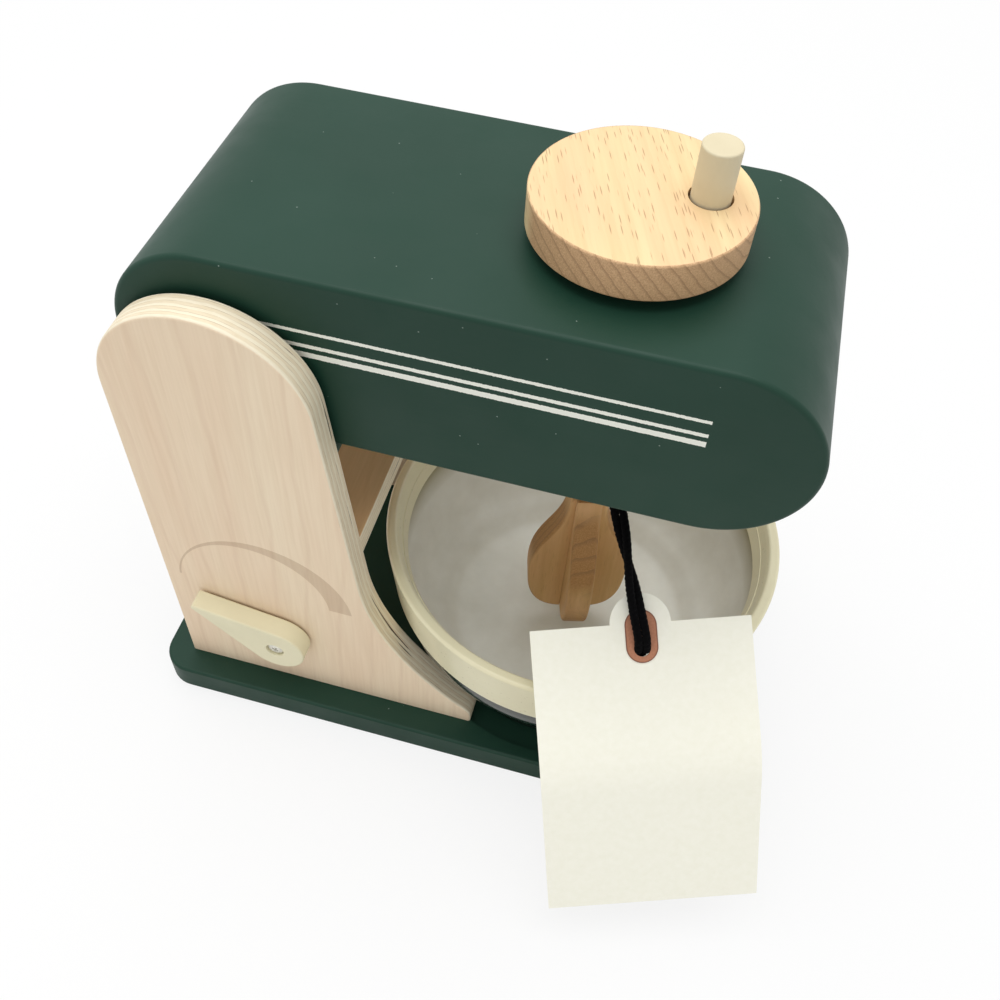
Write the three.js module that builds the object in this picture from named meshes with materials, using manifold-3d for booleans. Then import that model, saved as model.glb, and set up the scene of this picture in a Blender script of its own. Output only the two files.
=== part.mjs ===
// Toy kitchen mixer with a tilting head, a crank-turned beater and a lift-out bowl.
// Millimetres, +Z up, +X is the front of the mixer (the beater end), +Y is its left side.
// The origin is the centre of the base plate's underside.
import * as THREE from 'three';
import { mergeVertices } from 'three/addons/utils/BufferGeometryUtils.js';
import Module from 'manifold-3d';

const wasm = await Module();
wasm.setup();

// Driving sizes

const overrun = 2;
const seatGap = 0.3;
const slideFit = 0.15;
const weldDistance = 1e-4;
const roundSteps = 48;
const smallSteps = 16;
const curveSteps = 10;
const cornerSteps = 5;
const edgeSteps = 2;

const base = {
  length: 235,
  width: 142,
  thickness: 13.5,
  cornerRadius: 12,
  edgeRound: 1.2,
};

const pivot = {
  inset: 46.5,
  height: 188.5,
  axleRadius: 4,
  axleInPanel: 7,
  washerRadius: 11,
  bushWall: 3,
};

// The front edge runs round the bowl, and each clearance is to the bowl's rim, knee or foot.
const panel = {
  thickness: 10.8,
  rear: 35.5,
  crownRise: 21.5,
  edgeRound: 1,
  browClearance: 17,
  waistClearance: 9.6,
  waistHeight: 92,
  waistPull: 33,
  ankleClearance: 2.4,
  ankleHeight: 24.5,
  ankleRun: 13.5,
  ankleRise: 11.5,
  toeClearance: 1,
  toeHeight: 17,
};

const shelf = {
  top: 109,
  frontInset: 2.4,
  backInset: 3.5,
  dowelRadius: 3,
  dowelInPanel: 6,
  dowelInShelf: 18,
  dowelSpacing: 44,
};

const rail = {
  radius: 5.5,
  browInset: 5.6,
  inPanel: 5,
};

const head = {
  length: 215,
  height: 66,
  width: 95,
  sideGap: 2,
  cheek: 9,
  skin: 4,
  edgeRound: 1.6,
  pivotBlockFront: 22,
  pivotBlockRear: 18,
  pivotBlockHeight: 40,
  bearingBlockLength: 46,
};

const shaft = {
  reach: 114.5,
  radius: 6,
  bottom: 105.5,
  inDisc: 8,
  tenonRadius: 3.5,
  tenonLength: 18,
  bushWall: 2.4,
  bushLength: 14,
};

const crank = {
  radius: 32.5,
  thickness: 12,
  gap: 4,
  edgeRound: 0.8,
  spacerRadius: 12,
  restAngle: THREE.MathUtils.degToRad(11.1),
};

const peg = {
  offset: 18.8,
  radius: 5.8,
  height: 16.5,
  inDisc: 8,
  holeClearance: 0.7,
  edgeRound: 0.8,
  screwLength: 13,
};

const collar = {
  radius: 11,
  thickness: 4.5,
  gap: 0.5,
  pinRadius: 1.2,
};

const beater = {
  width: 40,
  thickness: 10,
  bottom: 31,
  widestHeight: 56,
  neckWidth: 14,
  tipWidth: 9,
  turn: THREE.MathUtils.degToRad(15),
};

const lever = {
  reach: 9.3,
  height: 48,
  endRadius: 11.8,
  tipLength: 36.4,
  tipRadius: 1.2,
  thickness: 8,
  restAngle: THREE.MathUtils.degToRad(152),
  washerThickness: 0.6,
  washerRadius: 8,
  washerClearance: 0.1,
  recessRadius: 3.7,
  recessDepth: 3,
  edgeRound: 0.6,
  insertRadius: 3.5,
  insertLength: 9,
};

const screw = {
  shankRadius: 1.9,
  headRadius: 3.4,
  headHeight: 2.4,
  panelLength: 34,
  headDepth: 0.4,
  slotWidth: 0.8,
  slotLength: 3.6,
  slotDepth: 1,
  leverLength: 15.5,
};

// The bowl's insets are measured in from the rim's outer radius.
const bowl = {
  rimRadius: 77,
  rimHeight: 84,
  rimBottom: 60,
  rimTaper: 2.2,
  lipWidth: 4,
  lipRound: 1.5,
  ringInset: 8.4,
  ringInnerBottom: 72,
  shellTop: 78,
  shellInset: 3.7,
  shellWall: 2.6,
  bellyHeight: 50,
  bellyInset: 4.6,
  hipHeight: 34,
  hipInset: 12.2,
  kneeHeight: 22,
  kneeInset: 19.9,
  footInset: 21.4,
  footWidth: 5,
  footDepth: 2,
  floorHeight: 20,
  floorInset: 31,
  recessInset: 11.5,
  recessDepth: 2.5,
};

const tag = {
  width: 76,
  upper: 49,
  lower: 61,
  bend: THREE.MathUtils.degToRad(26),
  thickness: 0.8,
  tabRadius: 10.5,
  holeDrop: 8.5,
  holeRadius: 3.2,
  patchWidth: 11,
  patchLength: 18.3,
  patchTop: 4.8,
  patchThickness: 0.4,
  holeFromPivotX: 145.9,
  holeY: -59.6,
  holeHeight: 100.7,
  heading: THREE.MathUtils.degToRad(18.2),
  roll: THREE.MathUtils.degToRad(5.3),
  lean: THREE.MathUtils.degToRad(36.8),
};

const cord = {
  radius: 1.3,
  sides: 8,
  step: 5.2,
  loopDrop: 1.8,
  loopClearance: 1.4,
  mouthGap: 7,
  mouthSpread: 1.4,
  mouthTurn: THREE.MathUtils.degToRad(-76),
  strandGap: 0.2,
  bendStart: 1,
  bendReach: 2.9,
  knotRadius: 3.4,
  knotDrop: 1,
};

const panelScrewShares = [0.1, 0.45, 0.8];
const cordTurnShares = [0.125, 0.25, 0.375, 0.5, 0.625, 0.75, 0.875];
// Where the two strands cross: shares of their run from the tag, each with its share of half a turn.
const cordTwistShares = [
  [0.14, 0.03], [0.26, 0.17], [0.34, 0.33], [0.42, 0.5], [0.5, 0.67], [0.58, 0.83], [0.7, 1], [0.86, 1],
];

// Places worked out from the driving sizes

const baseTop = base.thickness;
const pivotX = -base.length / 2 + pivot.inset;
const shaftX = pivotX + shaft.reach;
const headRadius = head.height / 2;
const headTop = pivot.height + headRadius;
const headBottom = pivot.height - headRadius;
const headHalf = head.width / 2;
const panelInner = headHalf + head.sideGap;
const panelOuter = panelInner + panel.thickness;
const panelMid = (panelInner + panelOuter) / 2;
const panelRear = pivotX - panel.rear;
const browX = panelFrontX(bowl.rimRadius + panel.browClearance);
const waistX = panelFrontX(bowl.rimRadius + panel.waistClearance);
const ankleX = panelFrontX(bowl.rimRadius - bowl.kneeInset + panel.ankleClearance);
const toeX = panelFrontX(bowl.rimRadius - bowl.footInset + panel.toeClearance);
const discBottom = headTop + crank.gap;
const discTop = discBottom + crank.thickness;
const axleHalf = panelInner + pivot.axleInPanel;
const bushRadius = shaft.radius + slideFit + shaft.bushWall;
const recessFloor = baseTop - bowl.recessDepth;
const railX = browX - rail.browInset;
const railZ = pivot.height - headRadius - seatGap - rail.radius;
const shelfMiddle = shelf.top - panel.thickness / 2;
const blockWidth = head.width - 2 * head.cheek;
const leverX = pivotX + lever.reach;
const leverGap = lever.washerThickness + 2 * lever.washerClearance;
const leverInner = panelOuter + leverGap;
const leverOuter = leverInner + lever.thickness;
const ySides = { right: -1, left: 1 };

// Where a circle round the shaft axis meets the panels' inner faces, on the pivot's side.
function panelFrontX(radius) {
  return shaftX - Math.sqrt(Math.max(radius ** 2 - panelInner ** 2, 0));
}

// Materials

function material(color, roughness, metalness = 0) {
  return new THREE.MeshStandardMaterial({ color, roughness, metalness });
}

const greenPaint = material(0x2a4a3c, 0.45);
const plywood = material(0xe6d3b3, 0.6);
const beech = material(0xe9c992, 0.6);
const creamPaint = material(0xe3dcbc, 0.5);
const steel = material(0xb8bbbd, 0.35, 1);
const brass = material(0xc9a557, 0.4, 1);
const nylon = material(0xe8e6df, 0.5);
const greenEnamel = material(0x10241b, 0.12);
const creamEnamel = material(0xe6e1c6, 0.3);
const card = material(0xf7f4ea, 0.8);
const tanPatch = material(0x9a674e, 0.8);
const blackYarn = material(0x0c0c0d, 0.95);

// Solids helpers

function toSolid(geometry) {
  const plain = geometry.clone();
  plain.deleteAttribute('normal');
  plain.deleteAttribute('uv');
  const merged = mergeVertices(plain, weldDistance);
  return new wasm.Manifold(new wasm.Mesh({
    numProp: 3,
    vertProperties: new Float32Array(merged.attributes.position.array),
    triVerts: new Uint32Array(merged.index.array),
  }));
}

function toGeometry(solid) {
  const mesh = solid.getMesh();
  const geometry = new THREE.BufferGeometry();
  geometry.setAttribute('position', new THREE.BufferAttribute(mesh.vertProperties, 3));
  geometry.setIndex(new THREE.BufferAttribute(mesh.triVerts, 1));
  geometry.computeVertexNormals();
  return geometry;
}

function cut(body, ...tools) {
  return toGeometry(tools.reduce((left, tool) => left.subtract(toSolid(tool)), toSolid(body)));
}

function named(name, geometry, look) {
  const mesh = new THREE.Mesh(geometry, look);
  mesh.name = name;
  return mesh;
}

function cylinderZ(radius, bottom, top, x = 0, y = 0, steps = smallSteps, topRadius = radius) {
  const geometry = new THREE.CylinderGeometry(topRadius, radius, top - bottom, steps);
  return geometry.rotateX(Math.PI / 2).translate(x, y, (top + bottom) / 2);
}

function cylinderY(radius, from, to, x, z, steps = smallSteps) {
  const geometry = new THREE.CylinderGeometry(radius, radius, to - from, steps);
  return geometry.translate(x, (from + to) / 2, z);
}

function boxBetween(x0, x1, y0, y1, z0, z1) {
  const geometry = new THREE.BoxGeometry(x1 - x0, y1 - y0, z1 - z0);
  return geometry.translate((x0 + x1) / 2, (y0 + y1) / 2, (z0 + z1) / 2);
}

// A plate standing on the XY plane, its edges rounded by edge where that isn't 0.
function plate(shape, depth, edge, curveSegments) {
  const geometry = new THREE.ExtrudeGeometry(shape, {
    depth: depth - 2 * edge,
    bevelEnabled: edge > 0,
    bevelThickness: edge,
    bevelSize: edge,
    bevelOffset: -edge,
    bevelSegments: edgeSteps,
    curveSegments,
  });
  return geometry.translate(0, 0, edge);
}

// A shape drawn in X and Z, with its thickness from y0 to y1.
function plateXZ(shape, y0, y1, edge = 0) {
  return plate(shape, y1 - y0, edge, curveSteps).rotateX(Math.PI / 2).translate(0, y1, 0);
}

// A shape drawn in X and Y, with its thickness from z0 to z1.
function plateXY(shape, z0, z1, edge = 0) {
  return plate(shape, z1 - z0, edge, cornerSteps).translate(0, 0, z0);
}

// A turned solid around the Z axis, from [radius, height] points.
function turned(points, x = 0, y = 0, steps = roundSteps) {
  const profile = points.map(([radius, height]) => new THREE.Vector2(radius, height));
  return new THREE.LatheGeometry(profile, steps).rotateX(Math.PI / 2).translate(x, y, 0);
}

function obroundXZ(x0, x1, z0, z1) {
  const radius = (z1 - z0) / 2;
  const middle = (z0 + z1) / 2;
  const shape = new THREE.Shape();
  shape.moveTo(x0 + radius, z0);
  shape.lineTo(x1 - radius, z0);
  shape.absarc(x1 - radius, middle, radius, -Math.PI / 2, Math.PI / 2);
  shape.lineTo(x0 + radius, z1);
  shape.absarc(x0 + radius, middle, radius, Math.PI / 2, Math.PI * 1.5);
  return shape;
}

// Base, side panels and what joins them

function basePlateShape() {
  const x = base.length / 2;
  const y = base.width / 2;
  const r = base.cornerRadius;
  const shape = new THREE.Shape();
  shape.moveTo(-x + r, -y);
  shape.lineTo(x - r, -y);
  shape.absarc(x - r, -y + r, r, -Math.PI / 2, 0);
  shape.lineTo(x, y - r);
  shape.absarc(x - r, y - r, r, 0, Math.PI / 2);
  shape.lineTo(-x + r, y);
  shape.absarc(-x + r, y - r, r, Math.PI / 2, Math.PI);
  shape.lineTo(-x, -y + r);
  shape.absarc(-x + r, -y + r, r, Math.PI, Math.PI * 1.5);
  return shape;
}

function panelScrewPlaces() {
  const run = toeX - panelRear;
  const places = [];
  for (const side of Object.values(ySides)) {
    for (const share of panelScrewShares) {
      places.push([panelRear + run * share, side * panelMid]);
    }
  }
  return places;
}

function screwClearanceRadius() {
  return screw.shankRadius + slideFit;
}

// A countersunk wood screw with a cross recess, standing head down on z = bottom.
function countersunkScrew(x, y, bottom, length) {
  const body = turned([
    [0, bottom],
    [screw.headRadius, bottom],
    [screw.shankRadius, bottom + screw.headHeight],
    [screw.shankRadius, bottom + length - screw.headHeight],
    [0, bottom + length],
  ], x, y, smallSteps);
  return cut(body, ...crossSlots(x, y, bottom));
}

function crossSlots(x, y, bottom) {
  const long = screw.slotLength / 2;
  const thin = screw.slotWidth / 2;
  const top = bottom + screw.slotDepth;
  return [
    boxBetween(x - long, x + long, y - thin, y + thin, bottom - overrun, top),
    boxBetween(x - thin, x + thin, y - long, y + long, bottom - overrun, top),
  ];
}

// The hole that a countersunk screw from below sits in.
function countersunkHole(x, y, bottom, top) {
  const headTopZ = bottom + screw.headDepth + screw.headHeight;
  const wide = screw.headRadius + slideFit;
  const narrow = screwClearanceRadius();
  return turned([
    [0, bottom - overrun],
    [wide, bottom - overrun],
    [wide, bottom + screw.headDepth],
    [narrow, headTopZ],
    [narrow, top],
    [0, top],
  ], x, y, smallSteps);
}

function basePlate() {
  const board = plateXY(basePlateShape(), 0, baseTop, base.edgeRound);
  const radius = bowl.rimRadius - bowl.recessInset;
  const recess = cylinderZ(radius, recessFloor, baseTop + overrun, shaftX, 0, roundSteps);
  const holes = panelScrewPlaces().map(([x, y]) => countersunkHole(x, y, 0, baseTop + overrun));
  return named('base_plate', cut(board, recess, ...holes), greenPaint);
}

// The panel's outline runs below the base's top, where sidePanel trims it square. Its front edge
// leaves the crown as a tangent, at the angle browTurn, and runs straight to the waist.
function panelShape() {
  const bottom = baseTop - panel.edgeRound;
  const crownRadius = (browX - panelRear) / 2;
  const crownZ = pivot.height + panel.crownRise - crownRadius;
  const crownX = panelRear + crownRadius;
  const aside = waistX - crownX;
  const below = panel.waistHeight - crownZ;
  const browTurn = Math.atan2(below, aside) + Math.acos(crownRadius / Math.hypot(aside, below));
  const shape = new THREE.Shape();
  shape.moveTo(panelRear, bottom);
  shape.lineTo(toeX, bottom);
  shape.lineTo(toeX, panel.toeHeight);
  shape.quadraticCurveTo(toeX, (panel.toeHeight + panel.ankleHeight) / 2, ankleX, panel.ankleHeight);
  shape.bezierCurveTo(
    ankleX - panel.ankleRun, panel.ankleHeight + panel.ankleRise,
    waistX + panel.waistPull * Math.tan(browTurn), panel.waistHeight - panel.waistPull,
    waistX, panel.waistHeight,
  );
  shape.absarc(crownX, crownZ, crownRadius, browTurn, Math.PI);
  shape.lineTo(panelRear, bottom);
  return shape;
}

// The blind holes in a panel's inner face, and what only the right panel has in its outer one.
function panelHoles(side) {
  const inner = side * panelInner;
  const hole = (radius, depth, x, z) => {
    const ends = [inner - side * overrun, inner + side * (depth + seatGap)].sort((a, b) => a - b);
    return cylinderY(radius + slideFit, ends[0], ends[1], x, z);
  };
  const holes = [
    hole(pivot.axleRadius, pivot.axleInPanel, pivotX, pivot.height),
    hole(rail.radius, rail.inPanel, railX, railZ),
  ];
  for (const x of shelfDowelPlaces()) {
    holes.push(hole(shelf.dowelRadius, shelf.dowelInPanel, x, shelfMiddle));
  }
  for (const [x, y] of panelScrewPlaces()) {
    if (Math.sign(y) === side) {
      holes.push(cylinderZ(screwClearanceRadius(), baseTop - overrun, screw.panelLength + overrun, x, y));
    }
  }
  if (side === ySides.right) {
    const depth = lever.insertLength + seatGap;
    const radius = lever.insertRadius + slideFit;
    holes.push(cylinderY(radius, -panelOuter - overrun, -panelOuter + depth, leverX, lever.height));
  }
  return holes;
}

function sidePanel(name, side) {
  const [y0, y1] = side > 0 ? [panelInner, panelOuter] : [-panelOuter, -panelInner];
  const board = plateXZ(panelShape(), y0, y1, panel.edgeRound);
  const trim = boxBetween(
    panelRear - overrun, toeX + overrun,
    y0 - overrun, y1 + overrun, baseTop - panel.edgeRound - overrun, baseTop,
  );
  return named(name, cut(board, trim, ...panelHoles(side)), plywood);
}

function panelScrews() {
  return panelScrewPlaces().map(([x, y], index) => {
    const geometry = countersunkScrew(x, y, screw.headDepth, screw.panelLength);
    return named(`panel_screw_${index + 1}`, geometry, steel);
  });
}

function shelfDowelPlaces() {
  const middle = (panelRear + shelf.backInset + waistX - shelf.frontInset) / 2;
  return [middle - shelf.dowelSpacing / 2, middle + shelf.dowelSpacing / 2];
}

function crossShelf() {
  const board = boxBetween(
    panelRear + shelf.backInset, waistX - shelf.frontInset,
    -panelInner, panelInner, shelf.top - panel.thickness, shelf.top,
  );
  const holes = [];
  const depth = shelf.dowelInShelf + seatGap;
  for (const x of shelfDowelPlaces()) {
    const radius = shelf.dowelRadius + slideFit;
    holes.push(cylinderY(radius, -panelInner - overrun, -panelInner + depth, x, shelfMiddle));
    holes.push(cylinderY(radius, panelInner - depth, panelInner + overrun, x, shelfMiddle));
  }
  return named('cross_shelf', cut(board, ...holes), plywood);
}

function shelfDowels() {
  const dowels = [];
  for (const side of Object.values(ySides)) {
    for (const x of shelfDowelPlaces()) {
      const ends = [side * (panelInner - shelf.dowelInShelf), side * (panelInner + shelf.dowelInPanel)];
      ends.sort((a, b) => a - b);
      const geometry = cylinderY(shelf.dowelRadius, ends[0], ends[1], x, shelfMiddle);
      dowels.push(named(`shelf_dowel_${dowels.length + 1}`, geometry, beech));
    }
  }
  return dowels;
}

function stopRail() {
  const reach = panelInner + rail.inPanel;
  return named('stop_rail', cylinderY(rail.radius, -reach, reach, railX, railZ), greenPaint);
}

function pivotAxle() {
  const axle = cylinderY(pivot.axleRadius, -axleHalf, axleHalf, pivotX, pivot.height);
  return named('pivot_axle', axle, steel);
}

function pivotWasher(name, side) {
  const middle = side * (headHalf + head.sideGap / 2);
  const half = head.sideGap / 2 - slideFit;
  const disc = cylinderY(pivot.washerRadius, middle - half, middle + half, pivotX, pivot.height);
  const hole = cylinderY(
    pivot.axleRadius + slideFit, middle - overrun, middle + overrun, pivotX, pivot.height,
  );
  return named(name, cut(disc, hole), nylon);
}

// Speed lever on the right panel

function leverShape() {
  const r = lever.endRadius;
  const tip = lever.tipRadius;
  const length = lever.tipLength - tip;
  const spread = Math.acos((r - tip) / length);
  const shape = new THREE.Shape();
  const at = (cx, radius, angle) => [cx + radius * Math.cos(angle), radius * Math.sin(angle)];
  shape.moveTo(...at(length, tip, -spread));
  shape.absarc(length, 0, tip, -spread, spread);
  shape.lineTo(...at(0, r, spread));
  shape.absarc(0, 0, r, spread, 2 * Math.PI - spread);
  shape.lineTo(...at(length, tip, -spread));
  return shape;
}

function speedLever() {
  const board = plateXZ(leverShape(), -lever.thickness, 0, lever.edgeRound);
  const recess = cylinderY(
    lever.recessRadius, -lever.thickness - overrun, -lever.thickness + lever.recessDepth, 0, 0,
  );
  const hole = cylinderY(screwClearanceRadius(), -lever.thickness - overrun, overrun, 0, 0);
  const mesh = named('speed_lever', cut(board, recess, hole), creamPaint);
  mesh.position.set(leverX, -leverInner, lever.height);
  mesh.rotation.y = -lever.restAngle;
  return mesh;
}

function leverWasher() {
  const y = -panelOuter - lever.washerClearance;
  const disc = cylinderY(lever.washerRadius, y - lever.washerThickness, y, leverX, lever.height);
  const hole = cylinderY(
    screwClearanceRadius(), y - lever.washerThickness - overrun, y + overrun, leverX, lever.height,
  );
  return named('lever_washer', cut(disc, hole), nylon);
}

function leverInsert() {
  const y = -panelOuter;
  const tube = cylinderY(lever.insertRadius, y, y + lever.insertLength, leverX, lever.height);
  const bore = cylinderY(
    screwClearanceRadius(), y - overrun, y + lever.insertLength + overrun, leverX, lever.height,
  );
  return named('lever_insert', cut(tube, bore), brass);
}

function leverScrew() {
  const headY = -leverOuter + lever.recessDepth - seatGap;
  const geometry = cut(turned([
    [0, 0],
    [screw.headRadius, 0],
    [screw.headRadius, screw.headHeight],
    [screw.shankRadius, screw.headHeight],
    [screw.shankRadius, screw.leverLength],
    [0, screw.leverLength],
  ], 0, 0, smallSteps), ...crossSlots(0, 0, 0));
  const mesh = named('lever_screw', geometry, steel);
  mesh.position.set(leverX, headY - screw.headHeight, lever.height);
  mesh.rotation.x = -Math.PI / 2;
  return mesh;
}

// Head: two cheeks, a bent skin between them and the blocks inside

function headShape(inset) {
  return obroundXZ(
    pivotX - headRadius + inset,
    pivotX - headRadius + head.length - inset,
    headBottom + inset,
    headTop - inset,
  );
}

// Only a cheek's outer edge is rounded: the inner rounding falls outside the cheek and is cut off.
function headCheek(name, side) {
  const inner = headHalf - head.cheek - head.edgeRound;
  const [y0, y1] = side > 0 ? [inner, headHalf] : [-headHalf, -inner];
  const board = plateXZ(headShape(0), y0, y1, head.edgeRound);
  const trim = boxBetween(
    pivotX - headRadius - overrun, pivotX - headRadius + head.length + overrun,
    -blockWidth / 2, blockWidth / 2, headBottom - overrun, headTop + overrun,
  );
  const radius = pivot.axleRadius + slideFit + pivot.bushWall + slideFit;
  const hole = cylinderY(radius, y0 - overrun, y1 + overrun, pivotX, pivot.height);
  return named(name, cut(board, trim, hole), greenPaint);
}

function headSkin() {
  const half = blockWidth / 2;
  const outer = plateXZ(headShape(0), -half, half);
  const hollow = plateXZ(headShape(head.skin), -half - overrun, half + overrun);
  const radius = bushRadius + slideFit;
  const bore = cylinderZ(radius, headBottom - overrun, headTop + overrun, shaftX, 0);
  return named('head_skin', cut(outer, hollow, bore), greenPaint);
}

function pivotBlock() {
  const half = head.pivotBlockHeight / 2;
  const block = boxBetween(
    pivotX - head.pivotBlockRear, pivotX + head.pivotBlockFront,
    -blockWidth / 2, blockWidth / 2, pivot.height - half, pivot.height + half,
  );
  const bore = cylinderY(
    pivot.axleRadius + slideFit, -blockWidth / 2 - overrun, blockWidth / 2 + overrun,
    pivotX, pivot.height,
  );
  return named('pivot_block', cut(block, bore), beech);
}

function pivotBush(name, side) {
  const [y0, y1] = side > 0 ? [headHalf - head.cheek, headHalf] : [-headHalf, -headHalf + head.cheek];
  const inner = pivot.axleRadius + slideFit;
  const tube = cylinderY(inner + pivot.bushWall, y0, y1, pivotX, pivot.height);
  const bore = cylinderY(inner, y0 - overrun, y1 + overrun, pivotX, pivot.height);
  return named(name, cut(tube, bore), nylon);
}

function bearingBlock() {
  const block = boxBetween(
    shaftX - head.bearingBlockLength / 2, shaftX + head.bearingBlockLength / 2,
    -blockWidth / 2, blockWidth / 2, headBottom + head.skin, headTop - head.skin,
  );
  const bore = cylinderZ(
    bushRadius + slideFit, headBottom - overrun, headTop + overrun, shaftX, 0,
  );
  return named('bearing_block', cut(block, bore), beech);
}

function shaftBush(name, bottom, top) {
  const tube = cylinderZ(bushRadius, bottom, top, shaftX, 0);
  const bore = cylinderZ(shaft.radius + slideFit, bottom - overrun, top + overrun, shaftX, 0);
  return named(name, cut(tube, bore), nylon);
}

// Crank: disc, shaft and beater, built around the shaft axis

function crankDisc() {
  const r = crank.radius;
  const edge = crank.edgeRound;
  const disc = turned([
    [0, discBottom],
    [r - edge, discBottom],
    [r, discBottom + edge],
    [r, discTop - edge],
    [r - edge, discTop],
    [0, discTop],
  ]);
  const shaftHole = cylinderZ(
    shaft.radius + slideFit, discBottom - overrun, discBottom + shaft.inDisc + seatGap,
  );
  const pegHole = cylinderZ(
    peg.radius + peg.holeClearance, discTop - peg.inDisc - seatGap, discTop + overrun, peg.offset,
  );
  const screwHole = countersunkHole(peg.offset, 0, discBottom, discTop);
  return named('crank_disc', cut(disc, shaftHole, pegHole, screwHole), beech);
}

function discSpacer() {
  const ring = cylinderZ(crank.spacerRadius, headTop, discBottom - seatGap, shaftX, 0);
  const bore = cylinderZ(
    shaft.radius + slideFit, headTop - overrun, discBottom + overrun, shaftX, 0,
  );
  return named('disc_spacer', cut(ring, bore), nylon);
}

function beaterShaft() {
  const tenonBottom = shaft.bottom - shaft.tenonLength;
  const rod = turned([
    [0, tenonBottom],
    [shaft.tenonRadius, tenonBottom],
    [shaft.tenonRadius, shaft.bottom],
    [shaft.radius, shaft.bottom],
    [shaft.radius, discBottom + shaft.inDisc],
    [0, discBottom + shaft.inDisc],
  ], 0, 0, smallSteps);
  const pinZ = collarTop() - collar.thickness / 2;
  const pinHole = cylinderY(
    collar.pinRadius + slideFit, -collar.radius - overrun, collar.radius + overrun, 0, pinZ,
  );
  return named('beater_shaft', cut(rod, pinHole), beech);
}

function collarTop() {
  return headBottom - collar.gap;
}

function shaftCollar() {
  const top = collarTop();
  const ring = cylinderZ(collar.radius, top - collar.thickness, top);
  const bore = cylinderZ(
    shaft.radius + slideFit, top - collar.thickness - overrun, top + overrun,
  );
  const pinHole = cylinderY(
    collar.pinRadius + slideFit, -collar.radius - overrun, collar.radius + overrun,
    0, top - collar.thickness / 2,
  );
  return named('shaft_collar', cut(ring, bore, pinHole), beech);
}

function collarPin() {
  const z = collarTop() - collar.thickness / 2;
  const reach = collar.radius - seatGap;
  return named('collar_pin', cylinderY(collar.pinRadius, -reach, reach, 0, z), steel);
}

// The egg-shaped outline of a beater blade, centred on the shaft axis.
function bladeShape() {
  const half = beater.width / 2;
  const neck = beater.neckWidth / 2;
  const tip = beater.tipWidth / 2;
  const top = shaft.bottom - seatGap;
  const low = beater.widestHeight - beater.bottom;
  const high = top - beater.widestHeight;
  const shape = new THREE.Shape();
  shape.moveTo(-tip, beater.bottom);
  shape.lineTo(tip, beater.bottom);
  shape.bezierCurveTo(
    half - tip / 2, beater.bottom, half, beater.widestHeight - low / 2, half, beater.widestHeight,
  );
  shape.bezierCurveTo(
    half, beater.widestHeight + high / 2, neck, top - high / 2, neck, top,
  );
  shape.lineTo(-neck, top);
  shape.bezierCurveTo(
    -neck, top - high / 2, -half, beater.widestHeight + high / 2, -half, beater.widestHeight,
  );
  shape.bezierCurveTo(
    -half, beater.widestHeight - low / 2, -half + tip / 2, beater.bottom, -tip, beater.bottom,
  );
  return shape;
}

function bladeLap() {
  return beater.widestHeight;
}

function firstBlade() {
  const half = beater.thickness / 2;
  const gap = half + slideFit;
  const board = plateXZ(bladeShape(), -half, half);
  const slot = boxBetween(
    -gap, gap, -half - overrun, half + overrun, beater.bottom - overrun, bladeLap() + slideFit,
  );
  const bore = cylinderZ(
    shaft.tenonRadius + slideFit, shaft.bottom - shaft.tenonLength - seatGap, shaft.bottom + overrun,
  );
  return named('beater_blade_upper', cut(board, slot, bore), beech);
}

// The crossing blade's slot is open to the top, so it slides up over the first one.
function secondBlade() {
  const half = beater.thickness / 2;
  const gap = half + slideFit;
  const board = plateXZ(bladeShape(), -half, half);
  const slot = boxBetween(
    -gap, gap, -half - overrun, half + overrun, bladeLap() - slideFit, shaft.bottom + overrun,
  );
  return named('beater_blade_lower', cut(board, slot).rotateZ(Math.PI / 2), beech);
}

function pegGroup() {
  const group = new THREE.Group();
  const bottom = discTop - peg.inDisc;
  const top = discTop + peg.height;
  const edge = peg.edgeRound;
  const body = turned([
    [0, bottom],
    [peg.radius, bottom],
    [peg.radius, top - edge],
    [peg.radius - edge, top],
    [0, top],
  ], 0, 0, smallSteps * 2);
  const pilot = cylinderZ(
    screwClearanceRadius(), bottom - overrun, discBottom + screw.headDepth + peg.screwLength + seatGap,
  );
  const pegMesh = named('crank_peg', cut(body, pilot), creamPaint);
  const screwMesh = named(
    'peg_screw', countersunkScrew(0, 0, discBottom + screw.headDepth, peg.screwLength), steel,
  );
  group.add(pegMesh, screwMesh);
  group.position.x = peg.offset;
  return group;
}

function crankGroup() {
  const group = new THREE.Group();
  const blades = new THREE.Group();
  blades.add(firstBlade(), secondBlade());
  blades.rotation.z = beater.turn - crank.restAngle;
  group.add(crankDisc(), beaterShaft(), shaftCollar(), collarPin(), blades, pegGroup());
  group.position.x = shaftX;
  group.rotation.z = crank.restAngle;
  return group;
}

// Bowl: an enamelled shell with a thick ring over its edge

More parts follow.
